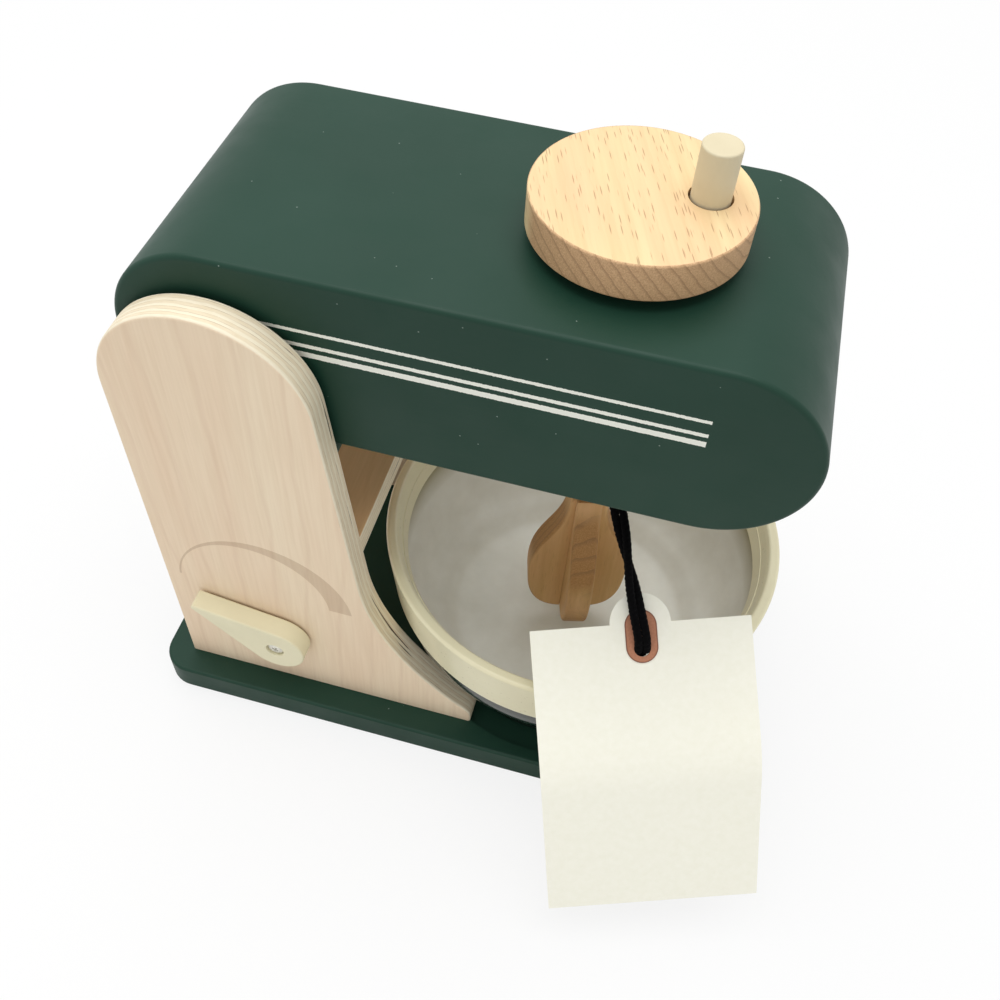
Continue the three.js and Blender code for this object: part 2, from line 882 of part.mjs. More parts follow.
function bowlShell() {
  const bottom = recessFloor + seatGap;
  const rim = bowl.rimRadius;
  const wall = bowl.shellWall;
  const shell = rim - bowl.shellInset;
  const belly = rim - bowl.bellyInset;
  const hip = rim - bowl.hipInset;
  const knee = rim - bowl.kneeInset;
  const foot = rim - bowl.footInset;
  const floor = rim - bowl.floorInset;
  const profile = turned([
    [0, bottom + bowl.footDepth],
    [foot - bowl.footWidth - bowl.footDepth, bottom + bowl.footDepth],
    [foot - bowl.footWidth, bottom],
    [foot, bottom],
    [foot + slideFit, bottom + bowl.footWidth],
    [knee, bowl.kneeHeight],
    [(knee + hip) / 2 + slideFit, (bowl.kneeHeight + bowl.hipHeight) / 2],
    [hip, bowl.hipHeight],
    [(hip + belly) / 2 + slideFit, (bowl.hipHeight + bowl.bellyHeight) / 2],
    [belly, bowl.bellyHeight],
    [shell, bowl.rimBottom],
    [shell, bowl.shellTop],
    [shell - wall, bowl.shellTop],
    [shell - wall, bowl.rimBottom],
    [belly - 2 * wall, bowl.bellyHeight],
    [hip - wall, bowl.hipHeight + wall],
    [knee - wall, bowl.kneeHeight + 2 * wall],
    [(knee + floor) / 2, bowl.floorHeight + wall],
    [floor, bowl.floorHeight],
    [0, bowl.floorHeight],
  ], shaftX, 0);
  return named('bowl_shell', profile, greenEnamel);
}

function bowlRim() {
  const top = bowl.rimHeight;
  const round = bowl.lipRound;
  const outer = bowl.rimRadius;
  const lip = outer - bowl.lipWidth;
  const slotOuter = outer - bowl.shellInset + slideFit;
  const slotInner = outer - bowl.shellInset - bowl.shellWall - slideFit;
  const slotTop = bowl.shellTop + seatGap;
  const ring = turned([
    [slotOuter, bowl.rimBottom],
    [outer - bowl.rimTaper, bowl.rimBottom],
    [outer, top - round],
    [outer - round / 2, top - round / 3],
    [outer - round, top],
    [lip + round / 3, top],
    [lip - round / 2, top - round / 2],
    [outer - bowl.ringInset, bowl.ringInnerBottom],
    [slotInner, bowl.ringInnerBottom],
    [slotInner, slotTop],
    [slotOuter, slotTop],
    [slotOuter, bowl.rimBottom],
  ], shaftX, 0);
  return named('bowl_rim', ring, creamEnamel);
}

// Swing tag on its cord

function tagOutline() {
  const half = tag.width / 2;
  const top = tag.holeDrop;
  const shape = new THREE.Shape();
  shape.moveTo(-half, top - tag.upper);
  shape.lineTo(half, top - tag.upper);
  shape.lineTo(half, top);
  shape.lineTo(tag.tabRadius, top);
  shape.absarc(0, top, tag.tabRadius, 0, Math.PI);
  shape.lineTo(-half, top);
  shape.lineTo(-half, top - tag.upper);
  const hole = new THREE.Path();
  hole.absarc(0, 0, tag.holeRadius, 0, 2 * Math.PI, true);
  shape.holes.push(hole);
  return shape;
}

// The card lies in the group's XY plane, its hole at the group's origin, its face up.
function hangTag() {
  const half = tag.thickness / 2;
  const upper = plateXY(tagOutline(), -half, half);
  const foldY = tag.holeDrop - tag.upper;
  const flap = boxBetween(-tag.width / 2, tag.width / 2, -tag.lower, half, -half, half);
  flap.rotateX(tag.bend).translate(0, foldY, 0);
  const joined = toGeometry(toSolid(upper).add(toSolid(flap)));
  return named('hang_tag', joined, card);
}

function tagPatch() {
  const radius = tag.patchWidth / 2;
  const top = tag.holeDrop + tag.patchTop - radius;
  const bottom = top - tag.patchLength + 2 * radius;
  const shape = new THREE.Shape();
  shape.moveTo(radius, bottom);
  shape.lineTo(radius, top);
  shape.absarc(0, top, radius, 0, Math.PI);
  shape.lineTo(-radius, bottom);
  shape.absarc(0, bottom, radius, Math.PI, 2 * Math.PI);
  const hole = new THREE.Path();
  hole.absarc(0, 0, tag.holeRadius, 0, 2 * Math.PI, true);
  shape.holes.push(hole);
  const z0 = tag.thickness / 2 + slideFit;
  return named('tag_patch', plateXY(shape, z0, z0 + tag.patchThickness), tanPatch);
}

function cordKnot() {
  const z = -tag.thickness / 2 - cord.knotDrop - cord.knotRadius;
  const ball = new THREE.SphereGeometry(cord.knotRadius, smallSteps, cord.sides);
  return named('cord_knot', ball.translate(0, 0, z), blackYarn);
}

function tagGroup() {
  const group = new THREE.Group();
  group.add(hangTag(), tagPatch(), cordKnot());
  group.position.set(pivotX + tag.holeFromPivotX, tag.holeY, tag.holeHeight);
  group.rotation.set(tag.lean, -tag.roll, tag.heading, 'ZYX');
  group.updateMatrixWorld(true);
  return group;
}

// One strand: up through the tag's hole, round the other strand, and on to the loop's mouth.
function cordStrand(group, mouth, side) {
  const over = tag.thickness / 2 + slideFit + tag.patchThickness + 2 * seatGap + cord.radius;
  const start = group.localToWorld(new THREE.Vector3(0, cord.bendReach, over));
  const direction = mouth.clone().sub(start).normalize();
  const tagAcross = new THREE.Vector3(1, 0, 0).transformDirection(group.matrixWorld);
  const mouthAcross = new THREE.Vector3(-Math.sin(cord.mouthTurn), Math.cos(cord.mouthTurn), 0);
  const beside = (share, halfTurns, offset) => {
    const across = tagAcross.clone().lerp(mouthAcross, share);
    across.addScaledVector(direction, -across.dot(direction)).normalize();
    across.applyAxisAngle(direction, Math.PI * halfTurns);
    return start.clone().lerp(mouth, share).addScaledVector(across, offset);
  };
  return [
    group.localToWorld(new THREE.Vector3(side, -cord.bendStart, 0)),
    group.localToWorld(new THREE.Vector3(side, cord.bendReach, over)),
    ...cordTwistShares.map(([share, halfTurns]) => beside(share, halfTurns, side)),
    beside(1, 1, side * cord.mouthSpread),
  ];
}

// The doubled cord comes up through the tag's hole and runs to the shaft, round it and back.
function tagCord(group) {
  const loopZ = collarTop() - collar.thickness - cord.loopDrop;
  const loopRadius = shaft.radius + cord.radius + cord.loopClearance;
  const side = cord.radius + cord.strandGap / 2;
  const atShaft = (radius, angle) => new THREE.Vector3(
    shaftX + radius * Math.cos(angle), radius * Math.sin(angle), loopZ,
  );
  const mouth = atShaft(loopRadius + cord.mouthGap, cord.mouthTurn);
  const first = cordStrand(group, mouth, side);
  const second = cordStrand(group, mouth, -side);
  const loop = cordTurnShares.map((share) => (
    atShaft(loopRadius, cord.mouthTurn - share * 2 * Math.PI)
  ));
  const path = polyline([...first, ...loop, ...second.reverse()]);
  const section = new THREE.Shape();
  section.absarc(0, 0, cord.radius, 0, 2 * Math.PI);
  const tube = new THREE.ExtrudeGeometry(section, {
    steps: Math.round(path.getLength() / cord.step),
    extrudePath: path,
    bevelEnabled: false,
    curveSegments: cord.sides / 2,
  });
  return named('tag_cord', tube, blackYarn);
}

function polyline(points) {
  const path = new THREE.CurvePath();
  for (let index = 1; index < points.length; index += 1) {
    path.add(new THREE.LineCurve3(points[index - 1], points[index]));
  }
  return path;
}

// Assembly

const mixer = new THREE.Group();

mixer.add(
  basePlate(),
  sidePanel('right_side_panel', ySides.right),
  sidePanel('left_side_panel', ySides.left),
  ...panelScrews(),
  crossShelf(),
  ...shelfDowels(),
  stopRail(),
  pivotAxle(),
  pivotWasher('right_pivot_washer', ySides.right),
  pivotWasher('left_pivot_washer', ySides.left),
);

mixer.add(speedLever(), leverWasher(), leverInsert(), leverScrew());

mixer.add(
  headCheek('head_right_cheek', ySides.right),
  headCheek('head_left_cheek', ySides.left),
  headSkin(),
  pivotBlock(),
  pivotBush('right_pivot_bush', ySides.right),
  pivotBush('left_pivot_bush', ySides.left),
  bearingBlock(),
  shaftBush('upper_shaft_bush', headTop - shaft.bushLength, headTop),
  shaftBush('lower_shaft_bush', headBottom, headBottom + shaft.bushLength),
  discSpacer(),
);

mixer.add(crankGroup());

mixer.add(bowlShell(), bowlRim());

const swingTag = tagGroup();
mixer.add(swingTag, tagCord(swingTag));

export default mixer;
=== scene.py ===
# %% [markdown]
# # A toy kitchen mixer
# The mixer stands on a painted board. Two plywood side panels carry a long round-ended head,
# which tilts back on an axle between them. A crank disc on the head turns a shaft and a beater
# inside a bowl that lifts out of a round recess. A swing tag hangs from the shaft on a cord.
#
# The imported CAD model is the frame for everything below. It is loaded first, and its box is
# kept, so that the finished pieces can be compared with it at the end.

# %% Load the frame
import math

import bmesh
import bpy
from mathutils import Color, Euler, Matrix, Vector


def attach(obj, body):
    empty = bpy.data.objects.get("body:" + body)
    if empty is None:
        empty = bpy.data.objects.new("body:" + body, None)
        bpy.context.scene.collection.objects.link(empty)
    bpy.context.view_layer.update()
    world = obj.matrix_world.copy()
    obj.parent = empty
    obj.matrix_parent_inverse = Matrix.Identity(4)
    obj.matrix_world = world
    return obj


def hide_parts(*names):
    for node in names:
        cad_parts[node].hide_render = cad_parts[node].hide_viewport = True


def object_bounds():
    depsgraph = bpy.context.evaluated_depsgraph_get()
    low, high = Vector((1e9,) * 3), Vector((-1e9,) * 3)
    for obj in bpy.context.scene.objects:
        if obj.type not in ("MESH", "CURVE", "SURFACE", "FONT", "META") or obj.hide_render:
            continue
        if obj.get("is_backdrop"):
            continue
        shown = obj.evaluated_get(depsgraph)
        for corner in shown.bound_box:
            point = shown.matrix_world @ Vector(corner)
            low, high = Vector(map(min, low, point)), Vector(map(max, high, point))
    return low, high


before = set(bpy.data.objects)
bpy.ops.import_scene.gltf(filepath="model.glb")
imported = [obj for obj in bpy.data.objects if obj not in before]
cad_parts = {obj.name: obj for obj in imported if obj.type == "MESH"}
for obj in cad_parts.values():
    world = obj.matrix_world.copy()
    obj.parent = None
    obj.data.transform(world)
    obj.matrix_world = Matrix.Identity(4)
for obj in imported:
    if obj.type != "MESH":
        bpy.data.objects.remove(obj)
cad_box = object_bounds()
MM = 0.001

# %% [markdown]
# ## Camera
# The view is from above the near front corner: turned a little to the left, looking steeply
# down, and tipped a few degrees. The three angles are kept as numbers, and the camera's own
# axes are worked out from them, which is easier to correct than a matrix of nine values.

# %% Camera
CAMERA_PLACE = (0.060743, -0.252873, 0.413294)
CAMERA_ANGLES = (11.459, 51.782, 4.329)
FOCAL_LENGTH = 38.02


def added(name, data):
    """A new object, linked into the scene."""
    made = bpy.data.objects.new(name, data)
    bpy.context.scene.collection.objects.link(made)
    return made


turn, height, tip = (math.radians(angle) for angle in CAMERA_ANGLES)
ahead = Vector((
    -math.sin(turn) * math.cos(height), math.cos(turn) * math.cos(height), -math.sin(height),
))
level = Vector((math.cos(turn), math.sin(turn), 0))
upright = level.cross(ahead)
across = level * math.cos(tip) + upright * math.sin(tip)
upward = upright * math.cos(tip) - level * math.sin(tip)

lens = bpy.data.cameras.new("camera")
lens.lens = FOCAL_LENGTH
lens.sensor_width = 36
lens.clip_start = 0.01
camera = added("camera", lens)
axes = Matrix((across, upward, -ahead)).transposed().to_4x4()
camera.matrix_world = Matrix.Translation(CAMERA_PLACE) @ axes
bpy.context.scene.camera = camera
print("camera looks along", tuple(round(v, 3) for v in ahead))

# %% [markdown]
# ## Helpers for node trees
# Materials and Geometry Nodes are both trees of nodes. One helper makes a node, sets its
# choices and fills its sockets, either with a value or with a link from another node. The
# others stand for the steps that come back in nearly every tree. They take nodes or sockets,
# which know their tree, so the tree itself is named only where nothing else leads to it.

# %% Node helpers
def fill(made, sockets):
    """Fills a node's sockets with values or links. A node stands for its first output."""
    for name, value in sockets.items():
        if isinstance(value, bpy.types.Node):
            value = value.outputs[0]
        if isinstance(value, bpy.types.NodeSocket):
            made.id_data.links.new(value, made.inputs[name])
        else:
            made.inputs[name].default_value = value


def node(tree, kind, sockets=None, **choices):
    """A node with its choices set and its sockets filled."""
    made = tree.nodes.new(kind)
    for name, value in choices.items():
        setattr(made, name, value)
    fill(made, sockets or {})
    return made


def tree_of(*values):
    """The tree of the first node or socket among some values."""
    kinds = (bpy.types.Node, bpy.types.NodeSocket)
    return next(value.id_data for value in values if isinstance(value, kinds))


def calculate(operation, first, second=0.0):
    """One Math node, for sums that make masks and patterns."""
    return node(tree_of(first, second), "ShaderNodeMath", {0: first, 1: second},
                operation=operation)


def above(value, limit):
    """1 where a value is above a limit."""
    return calculate("GREATER_THAN", value, limit)


def below(value, limit):
    """1 where a value is below a limit."""
    return calculate("LESS_THAN", value, limit)


def product(first, *others):
    """Values multiplied. Masks multiplied are a mask of where all of them hold."""
    for other in others:
        first = calculate("MULTIPLY", first, other)
    return first


def on_vector(operation, sockets):
    """One Vector Math node."""
    return node(tree_of(*sockets.values()), "ShaderNodeVectorMath", sockets, operation=operation)


def length_of(vector):
    """How long a vector is."""
    return on_vector("LENGTH", {0: vector}).outputs["Value"]


def parts_of(vector):
    """The X, Y and Z of a vector."""
    return node(vector.id_data, "ShaderNodeSeparateXYZ", {0: vector}).outputs


def cloud(coords, scale=1.0, detail=3.0, roughness=0.5, kind="Fac"):
    """Soft noise from 0 to 1, or three such noises if its kind is Color."""
    return node(coords.id_data, "ShaderNodeTexNoise", {
        "Vector": coords, "Scale": scale, "Detail": detail, "Roughness": roughness,
    }).outputs[kind]

# %% [markdown]
# ## Helpers for meshes
# Most of the mixer's pieces are boards cut to an outline with eased edges, or turned on a
# lathe. A board is built from rings of points: each ring is the outline moved inwards as the
# rounded edge rises. The extra ring just past each rounding keeps the flat faces flat when
# the mesh is shaded smooth.

# %% Outlines
SUPPORT = 0.15


def arc(x, y, radius, start, end, count):
    """Points on part of a circle, from one angle to another in radians."""
    angles = (start + (end - start) * index / count for index in range(count + 1))
    return [(x + radius * math.cos(a), y + radius * math.sin(a)) for a in angles]


def circle(x, y, radius, count):
    """A round outline, counterclockwise."""
    return arc(x, y, radius, 0, 2 * math.pi, count)[:-1]


def rectangle(low_x, high_x, half_y):
    """A rectangular outline, counterclockwise."""
    return [(low_x, -half_y), (high_x, -half_y), (high_x, half_y), (low_x, half_y)]


def bezier(start, pull_one, pull_two, end, count):
    """Points on a Bezier curve, without its first point."""
    made = []
    for index in range(1, count + 1):
        t = index / count
        s = 1 - t
        made.append(tuple(
            s ** 3 * a + 3 * s * s * t * b + 3 * s * t * t * c + t ** 3 * d
            for a, b, c, d in zip(start, pull_one, pull_two, end)
        ))
    return made


def moved_in(points, distance):
    """The outline moved inwards by a distance, square to its edges."""
    made = []
    for index, here in enumerate(points):
        here, after = Vector(here), Vector(points[(index + 1) % len(points)])
        one = (here - Vector(points[index - 1])).normalized()
        two = (after - here).normalized()
        first, second = Vector((-one.y, one.x)), Vector((-two.y, two.x))
        mitre = (first + second) / max(1 + first.dot(second), 0.3)
        made.append(tuple(here + mitre * distance))
    return made


def softened(points, steps=5):
    """A profile of (radius, height, rounding) whose corners are replaced by arcs."""
    made = []
    for index, (x, y, rounding) in enumerate(points):
        here = Vector((x, y))
        if not rounding:
            made.append((x, y))
            continue
        before = (Vector(points[index - 1][:2]) - here).normalized()
        after = (Vector(points[(index + 1) % len(points)][:2]) - here).normalized()
        half = before.angle(after) / 2
        run = rounding / math.tan(half)
        centre = here + (before + after).normalized() * (rounding / math.sin(half))
        start, end = here + before * run, here + after * run
        from_angle = math.atan2(*(start - centre).yx)
        sweep = (math.atan2(*(end - centre).yx) - from_angle + math.pi) % (2 * math.pi) - math.pi
        made.append(tuple(here + before * (run + SUPPORT)))
        made += arc(centre.x, centre.y, rounding, from_angle, from_angle + sweep, steps)
        made.append(tuple(here + after * (run + SUPPORT)))
    return made

# %% Boards
def eased(height, edge, up, steps):
    """(inset, height) of the rings from a face, round its edge, to the side of the board."""
    if not edge:
        return [(0, height)]
    angles = (math.pi / 2 * index / steps for index in range(steps + 1))
    return [
        (edge + SUPPORT, height),
        *((edge * (1 - math.sin(a)), height + up * edge * (1 - math.cos(a))) for a in angles),
        (0, height + up * (edge + SUPPORT)),
    ]


def wall(mesh, lower, upper):
    """Faces between two rings of the same number of points."""
    for index in range(len(lower)):
        mesh.faces.new((lower[index - 1], lower[index], upper[index], upper[index - 1]))


def ring_at(mesh, points, height):
    """A ring of vertices at one height."""
    return [mesh.verts.new((x, y, height)) for x, y in points]


def filled(mesh, rings):
    """Triangles between closed rings of vertices in one plane."""
    pairs = [(ring[index - 1], ring[index]) for ring in rings for index in range(len(ring))]
    edges = [mesh.edges.get(pair) or mesh.edges.new(pair) for pair in pairs]
    bmesh.ops.triangle_fill(mesh, edges=edges, use_beauty=True, normal=(0, 0, 1))


def board(outline, low, high, edge_low=0, edge_high=0, pits=(), steps=5):
    """A board between two heights. A pit is (outline, depth, from the top), through if None."""
    mesh = bmesh.new()
    heights = eased(low, edge_low, 1, steps) + eased(high, edge_high, -1, steps)[::-1]
    rings = [ring_at(mesh, moved_in(outline, inset), height) for inset, height in heights]
    for lower, upper in zip(rings, rings[1:]):
        wall(mesh, lower, upper)
    caps = {False: [rings[0]], True: [rings[-1]]}
    for shape, depth, from_top in pits:
        mouth = ring_at(mesh, shape, high if from_top else low)
        if depth is None:
            end = ring_at(mesh, shape, low if from_top else high)
            caps[not from_top].append(end)
        else:
            end = ring_at(mesh, shape, high - depth if from_top else low + depth)
            mesh.faces.new(end)
        wall(mesh, mouth, end)
        caps[from_top].append(mouth)
    for rings in caps.values():
        if len(rings) == 1:
            mesh.faces.new(rings[0])
        else:
            filled(mesh, rings)
    return mesh


def standing(mesh):
    """Turns a board drawn flat so that its height runs along +Y and its outline stands in XZ."""
    for vert in mesh.verts:
        x, y, z = vert.co
        vert.co = (x, z, y)
    return mesh


def planed(mesh, place, direction, **choices):
    """Cuts a mesh along a plane."""
    everything = [*mesh.verts, *mesh.edges, *mesh.faces]
    bmesh.ops.bisect_plane(mesh, geom=everything, plane_co=place, plane_no=direction, **choices)

# %% Finished pieces
def solid(name, mesh):
    """A bmesh in millimetres as an object in metres, its faces pointing outwards."""
    bmesh.ops.recalc_face_normals(mesh, faces=mesh.faces)
    bmesh.ops.scale(mesh, vec=(MM, MM, MM), verts=mesh.verts)
    data = bpy.data.meshes.new(name)
    mesh.to_mesh(data)
    mesh.free()
    return added(name, data)


def settled(source):
    """What an object's modifiers make of it, as a plain mesh in place of the object."""
    graph = bpy.context.evaluated_depsgraph_get()
    graph.update()
    data = bpy.data.meshes.new_from_object(source.evaluated_get(graph))
    name = source.name
    bpy.data.objects.remove(source)
    data.name = name
    return added(name, data)


def cut_away(body, *tools):
    """Cuts tools out of a body and removes the tools."""
    for tool in tools:
        modifier = body.modifiers.new("cut", "BOOLEAN")
        modifier.operation = "DIFFERENCE"
        modifier.solver = "EXACT"
        modifier.object = tool
    made = settled(body)
    for tool in tools:
        bpy.data.objects.remove(tool)
    return made


def finish_piece(made, look, body, slot, *nodes, sharp=32):
    """Smooth shading with crisp corners, a material, and the body and nodes of a piece."""
    data = made.data
    data.materials.clear()
    data.materials.append(look)
    data.polygons.foreach_set("use_smooth", [True] * len(data.polygons))
    data.set_sharp_from_angle(angle=math.radians(sharp))
    data.update()
    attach(made, body)
    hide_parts(*nodes)
    print(made.name, "has", sum(len(p.vertices) - 2 for p in data.polygons), "triangles")
    return made

# %% [markdown]
# ## Yarn
# The tag hangs on black yarn, two thin plies twisted together. The rule is simple: a lobed
# section follows the cord's path and turns steadily as it goes, and noise then roughens it as
# loose fibres do. Geometry Nodes states that rule directly, so the same tree makes the long
# cord and the knot behind the tag.

# %% Node groups
def new_group(name, *inputs):
    """A Geometry Nodes group and what comes in. An input is (name, kind, default or None)."""
    print("node group:", name, "with", [label for label, *_ in inputs])
    tree = bpy.data.node_groups.new(name, "GeometryNodeTree")
    tree.interface.new_socket("Geometry", in_out="INPUT", socket_type="NodeSocketGeometry")
    for label, kind, value in (*inputs, ("Look", "Material", None)):
        socket = tree.interface.new_socket(label, in_out="INPUT", socket_type="NodeSocket" + kind)
        if value is not None:
            socket.default_value = value
    tree.interface.new_socket("Geometry", in_out="OUTPUT", socket_type="NodeSocketGeometry")
    return tree, node(tree, "NodeGroupInput").outputs


def end_group(given, geometry):
    """Makes geometry real, gives it the group's material and sends it out."""
    tree = geometry.id_data
    real = node(tree, "GeometryNodeRealizeInstances", {"Geometry": geometry})
    painted = node(tree, "GeometryNodeSetMaterial", {"Geometry": real, "Material": given["Look"]})
    node(tree, "NodeGroupOutput", {"Geometry": painted})
    return tree


def grown(source, group, **inputs):
    """What a node group makes of an object, its inputs set by name."""
    modifier = source.modifiers.new(group.name, "NODES")
    modifier.node_group = group
    for item in group.interface.items_tree:
        if item.in_out == "INPUT" and item.name in inputs:
            modifier[item.identifier] = inputs[item.name]
    return settled(source)

# %% The yarn's node tree
def lobed_section(ring):
    """Pulls a round section in at two sides, so that two plies show."""
    place = node(ring.id_data, "GeometryNodeInputPosition")
    x, y, _ = parts_of(place)
    wave = calculate("ABSOLUTE", calculate("COSINE", calculate("ARCTAN2", y, x)))
    share = calculate("ADD", product(wave, 0.1), 0.9)
    scaled = on_vector("SCALE", {0: place, "Scale": share})
    return node(ring.id_data, "GeometryNodeSetPosition", {"Geometry": ring, "Position": scaled})


def yarn_tree():
    tree, given = new_group(
        "twisted yarn", ("Radius", "Float", 1.5 * MM), ("Step", "Float", 0.35 * MM),
        ("Fuzz", "Float", 0.5 * MM), ("Turns per metre", "Float", 260.0))
    path = node(tree, "GeometryNodeResampleCurve",
                {"Curve": given["Geometry"], "Length": given["Step"]}, mode="LENGTH")
    along = node(tree, "GeometryNodeSplineParameter").outputs["Length"]
    twist = product(along, given["Turns per metre"], 2 * math.pi)
    tilted = node(tree, "GeometryNodeSetCurveTilt", {"Curve": path, "Tilt": twist})
    ring = node(tree, "GeometryNodeCurvePrimitiveCircle",
                {"Resolution": 24, "Radius": given["Radius"]})
    tube = node(tree, "GeometryNodeCurveToMesh",
                {"Curve": tilted, "Profile Curve": lobed_section(ring), "Fill Caps": True})
    rough = cloud(node(tree, "GeometryNodeInputPosition"), 1500.0, 2.0)
    swell = product(calculate("SUBTRACT", rough, 0.5), given["Fuzz"])
    normal = node(tree, "GeometryNodeInputNormal")
    offset = on_vector("SCALE", {0: normal, "Scale": swell})
    fuzzy = node(tree, "GeometryNodeSetPosition", {"Geometry": tube, "Offset": offset})
    smooth = node(tree, "GeometryNodeSetShadeSmooth", {"Geometry": fuzzy})
    return end_group(given, smooth)


twisted_yarn = yarn_tree()


def spun_yarn(name, points, closed, look):
    """Yarn along points, in metres."""
    line = bpy.data.curves.new(name, "CURVE")
    line.dimensions = "3D"
    spline = line.splines.new("POLY")
    spline.points.add(len(points) - 1)
    for slot, point in zip(spline.points, points):
        slot.co = (*point, 1)
    spline.use_cyclic_u = closed
    return grown(added(name, line), twisted_yarn, Look=look)

# %% [markdown]
# ## Yarn finish
# Dyed yarn is nearly black and has no gloss, only a faint sheen from its loose fibres. Fine
# noise in the bump breaks up its surface, and the colour varies a little with the same noise.

# %% Black yarn
def colour(*screen):
    """A screen colour, 0 to 255, as the linear colour that a shader takes."""
    return (*Color([value / 255 for value in screen]).from_srgb_to_scene_linear(), 1.0)


def new_look(name):
    """An empty material and the object coordinates that patterns read."""
    look = bpy.data.materials.new(name)
    look.use_nodes = True
    print("material:", name)
    return look, node(look.node_tree, "ShaderNodeTexCoord").outputs["Object"]


def surfaced(look, sockets, height, depth):
    """A material with its shader filled, and a bump of a real depth in millimetres."""
    tree = look.node_tree
    bump = node(tree, "ShaderNodeBump", {"Height": height, "Distance": depth * MM})
    fill(tree.nodes["Principled BSDF"], {**sockets, "Normal": bump})
    return look


def stretched(coords, scale, rotation=(0, 0, 0)):
    """Coordinates turned and scaled, so that a pattern comes out long in one direction."""
    return node(coords.id_data, "ShaderNodeMapping",
                {"Vector": coords, "Rotation": rotation, "Scale": scale})


def remap(value, low, high, to_low=0.0, to_high=1.0):
    """A value spread from one range to another and held there."""
    return node(value.id_data, "ShaderNodeMapRange", {
        "Value": value, "From Min": low, "From Max": high, "To Min": to_low, "To Max": to_high,
    })


def mixed(share, one, two, mode="MIX"):
    """Two colours mixed by a share. Each is a link or a screen colour."""
    one, two = (colour(*value) if isinstance(value, tuple) else value for value in (one, two))
    return node(tree_of(share, one, two), "ShaderNodeMix", data_type="RGBA", blend_type=mode,
                sockets={0: share, 6: one, 7: two}).outputs[2]


def varied(noise, low, high):
    """A value that wanders between two with a noise."""
    return remap(noise, 0.3, 0.7, low, high)


def toned(noise, one, two, low=0.3, high=0.7):
    """A colour that wanders between two with a noise."""
    return mixed(remap(noise, low, high), one, two)


def yarn_look():
    look, coords = new_look("black yarn")
    fibres = cloud(coords, 2600, 4, 0.7)
    return surfaced(look, {
        "Base Color": toned(fibres, (3, 3, 4), (11, 10, 11), 0.35),
        "Roughness": 0.95, "Specular IOR Level": 0.05,
        "Sheen Weight": 0.02, "Sheen Roughness": 0.6,
    }, fibres, 0.25)


black_yarn = yarn_look()

# %% [markdown]
# ## The cord
# One length of yarn is folded in two. Both strands come up through the tag's hole and run to
# the shaft under the head, crossing once on the way, and the fold goes round the shaft from
# the mouth where they part. The route's points are those of the CAD cord, smoothed with a
# Catmull-Rom curve so that nothing kinks.

# %% The cord's route
PIVOT_X, PIVOT_Z, SHAFT_X = -71.0, 188.5, 43.5
LOOP_HEIGHT, LOOP_RADIUS = 148.7, 8.7
STRAND, MOUTH_GAP, MOUTH_SPREAD, MOUTH_TURN = 1.4, 7, 1.4, math.radians(-76)
IN_HOLE, OVER_PATCH = (-1, 0), (2.9, 2.85)
LOOP_POINTS, STEPS_PER_METRE = 8, 300
CROSSING = [
    (0.14, 0.03), (0.26, 0.17), (0.34, 0.33), (0.42, 0.5), (0.5, 0.67), (0.58, 0.83), (0.7, 1),
    (0.86, 1),
]
TAG_HOLE_PLACE, TAG_ANGLES = (74.9, -59.6, 100.7), (36.8, -5.3, 18.2)

tag_place = Matrix.Translation(Vector(TAG_HOLE_PLACE) * MM)
tag_place @= Euler([math.radians(a) for a in TAG_ANGLES]).to_matrix().to_4x4()


def on_tag(x, y, z):
    """A place on the tag, in metres."""
    return tag_place @ (Vector((x, y, z)) * MM)


def at_shaft(radius, angle):
    """A point at the loop's height, in metres."""
    x, y = radius * math.cos(angle), radius * math.sin(angle)
    return Vector((SHAFT_X + x, y, LOOP_HEIGHT)) * MM


mouth = at_shaft(LOOP_RADIUS + MOUTH_GAP, MOUTH_TURN)
over_patch = on_tag(0, *OVER_PATCH)
run_direction = (mouth - over_patch).normalized()
tag_across = tag_place.to_3x3() @ Vector((1, 0, 0))
mouth_across = Vector((-math.sin(MOUTH_TURN), math.cos(MOUTH_TURN), 0))


def beside(share, half_turns, side):
    """A point beside the middle of the run, turned about it by so many half turns."""
    sideways = tag_across.lerp(mouth_across, share)
    sideways = (sideways - run_direction * sideways.dot(run_direction)).normalized()
    turn_by = Matrix.Rotation(math.pi * half_turns, 3, run_direction)
    return over_patch.lerp(mouth, share) + turn_by @ sideways * side * MM


def strand_points(side):
    """From below the tag's hole, up through it, across the other strand and to the mouth."""
    return [
        on_tag(side, *IN_HOLE), on_tag(side, *OVER_PATCH),
        *(beside(share, half_turns, side) for share, half_turns in CROSSING),
        beside(1, 1, side * MOUTH_SPREAD),
    ]


def catmull_rom(points, power, steps_over):
    """A smooth curve through all the points but the first and last, which only steer it.

    A power of 0.5 keeps it from overshooting, and with 0 every span counts the same.
    """
    made = []
    for a, b, c, d in zip(points, points[1:], points[2:], points[3:]):
        t1 = (b - a).length ** power
        t2 = t1 + (c - b).length ** power
        t3 = t2 + (d - c).length ** power
        count = steps_over((c - b).length)
        for index in range(count):
            t = t1 + (t2 - t1) * index / count
            share = (t - t1) / (t2 - t1)
            ab, bc = a.lerp(b, t / t1), b.lerp(c, share)
            cd = c.lerp(d, (t - t2) / (t3 - t2))
            first, second = ab.lerp(bc, t / t2), bc.lerp(cd, (t - t1) / (t3 - t1))
            made.append(first.lerp(second, share))
    return [*made, points[-2]]


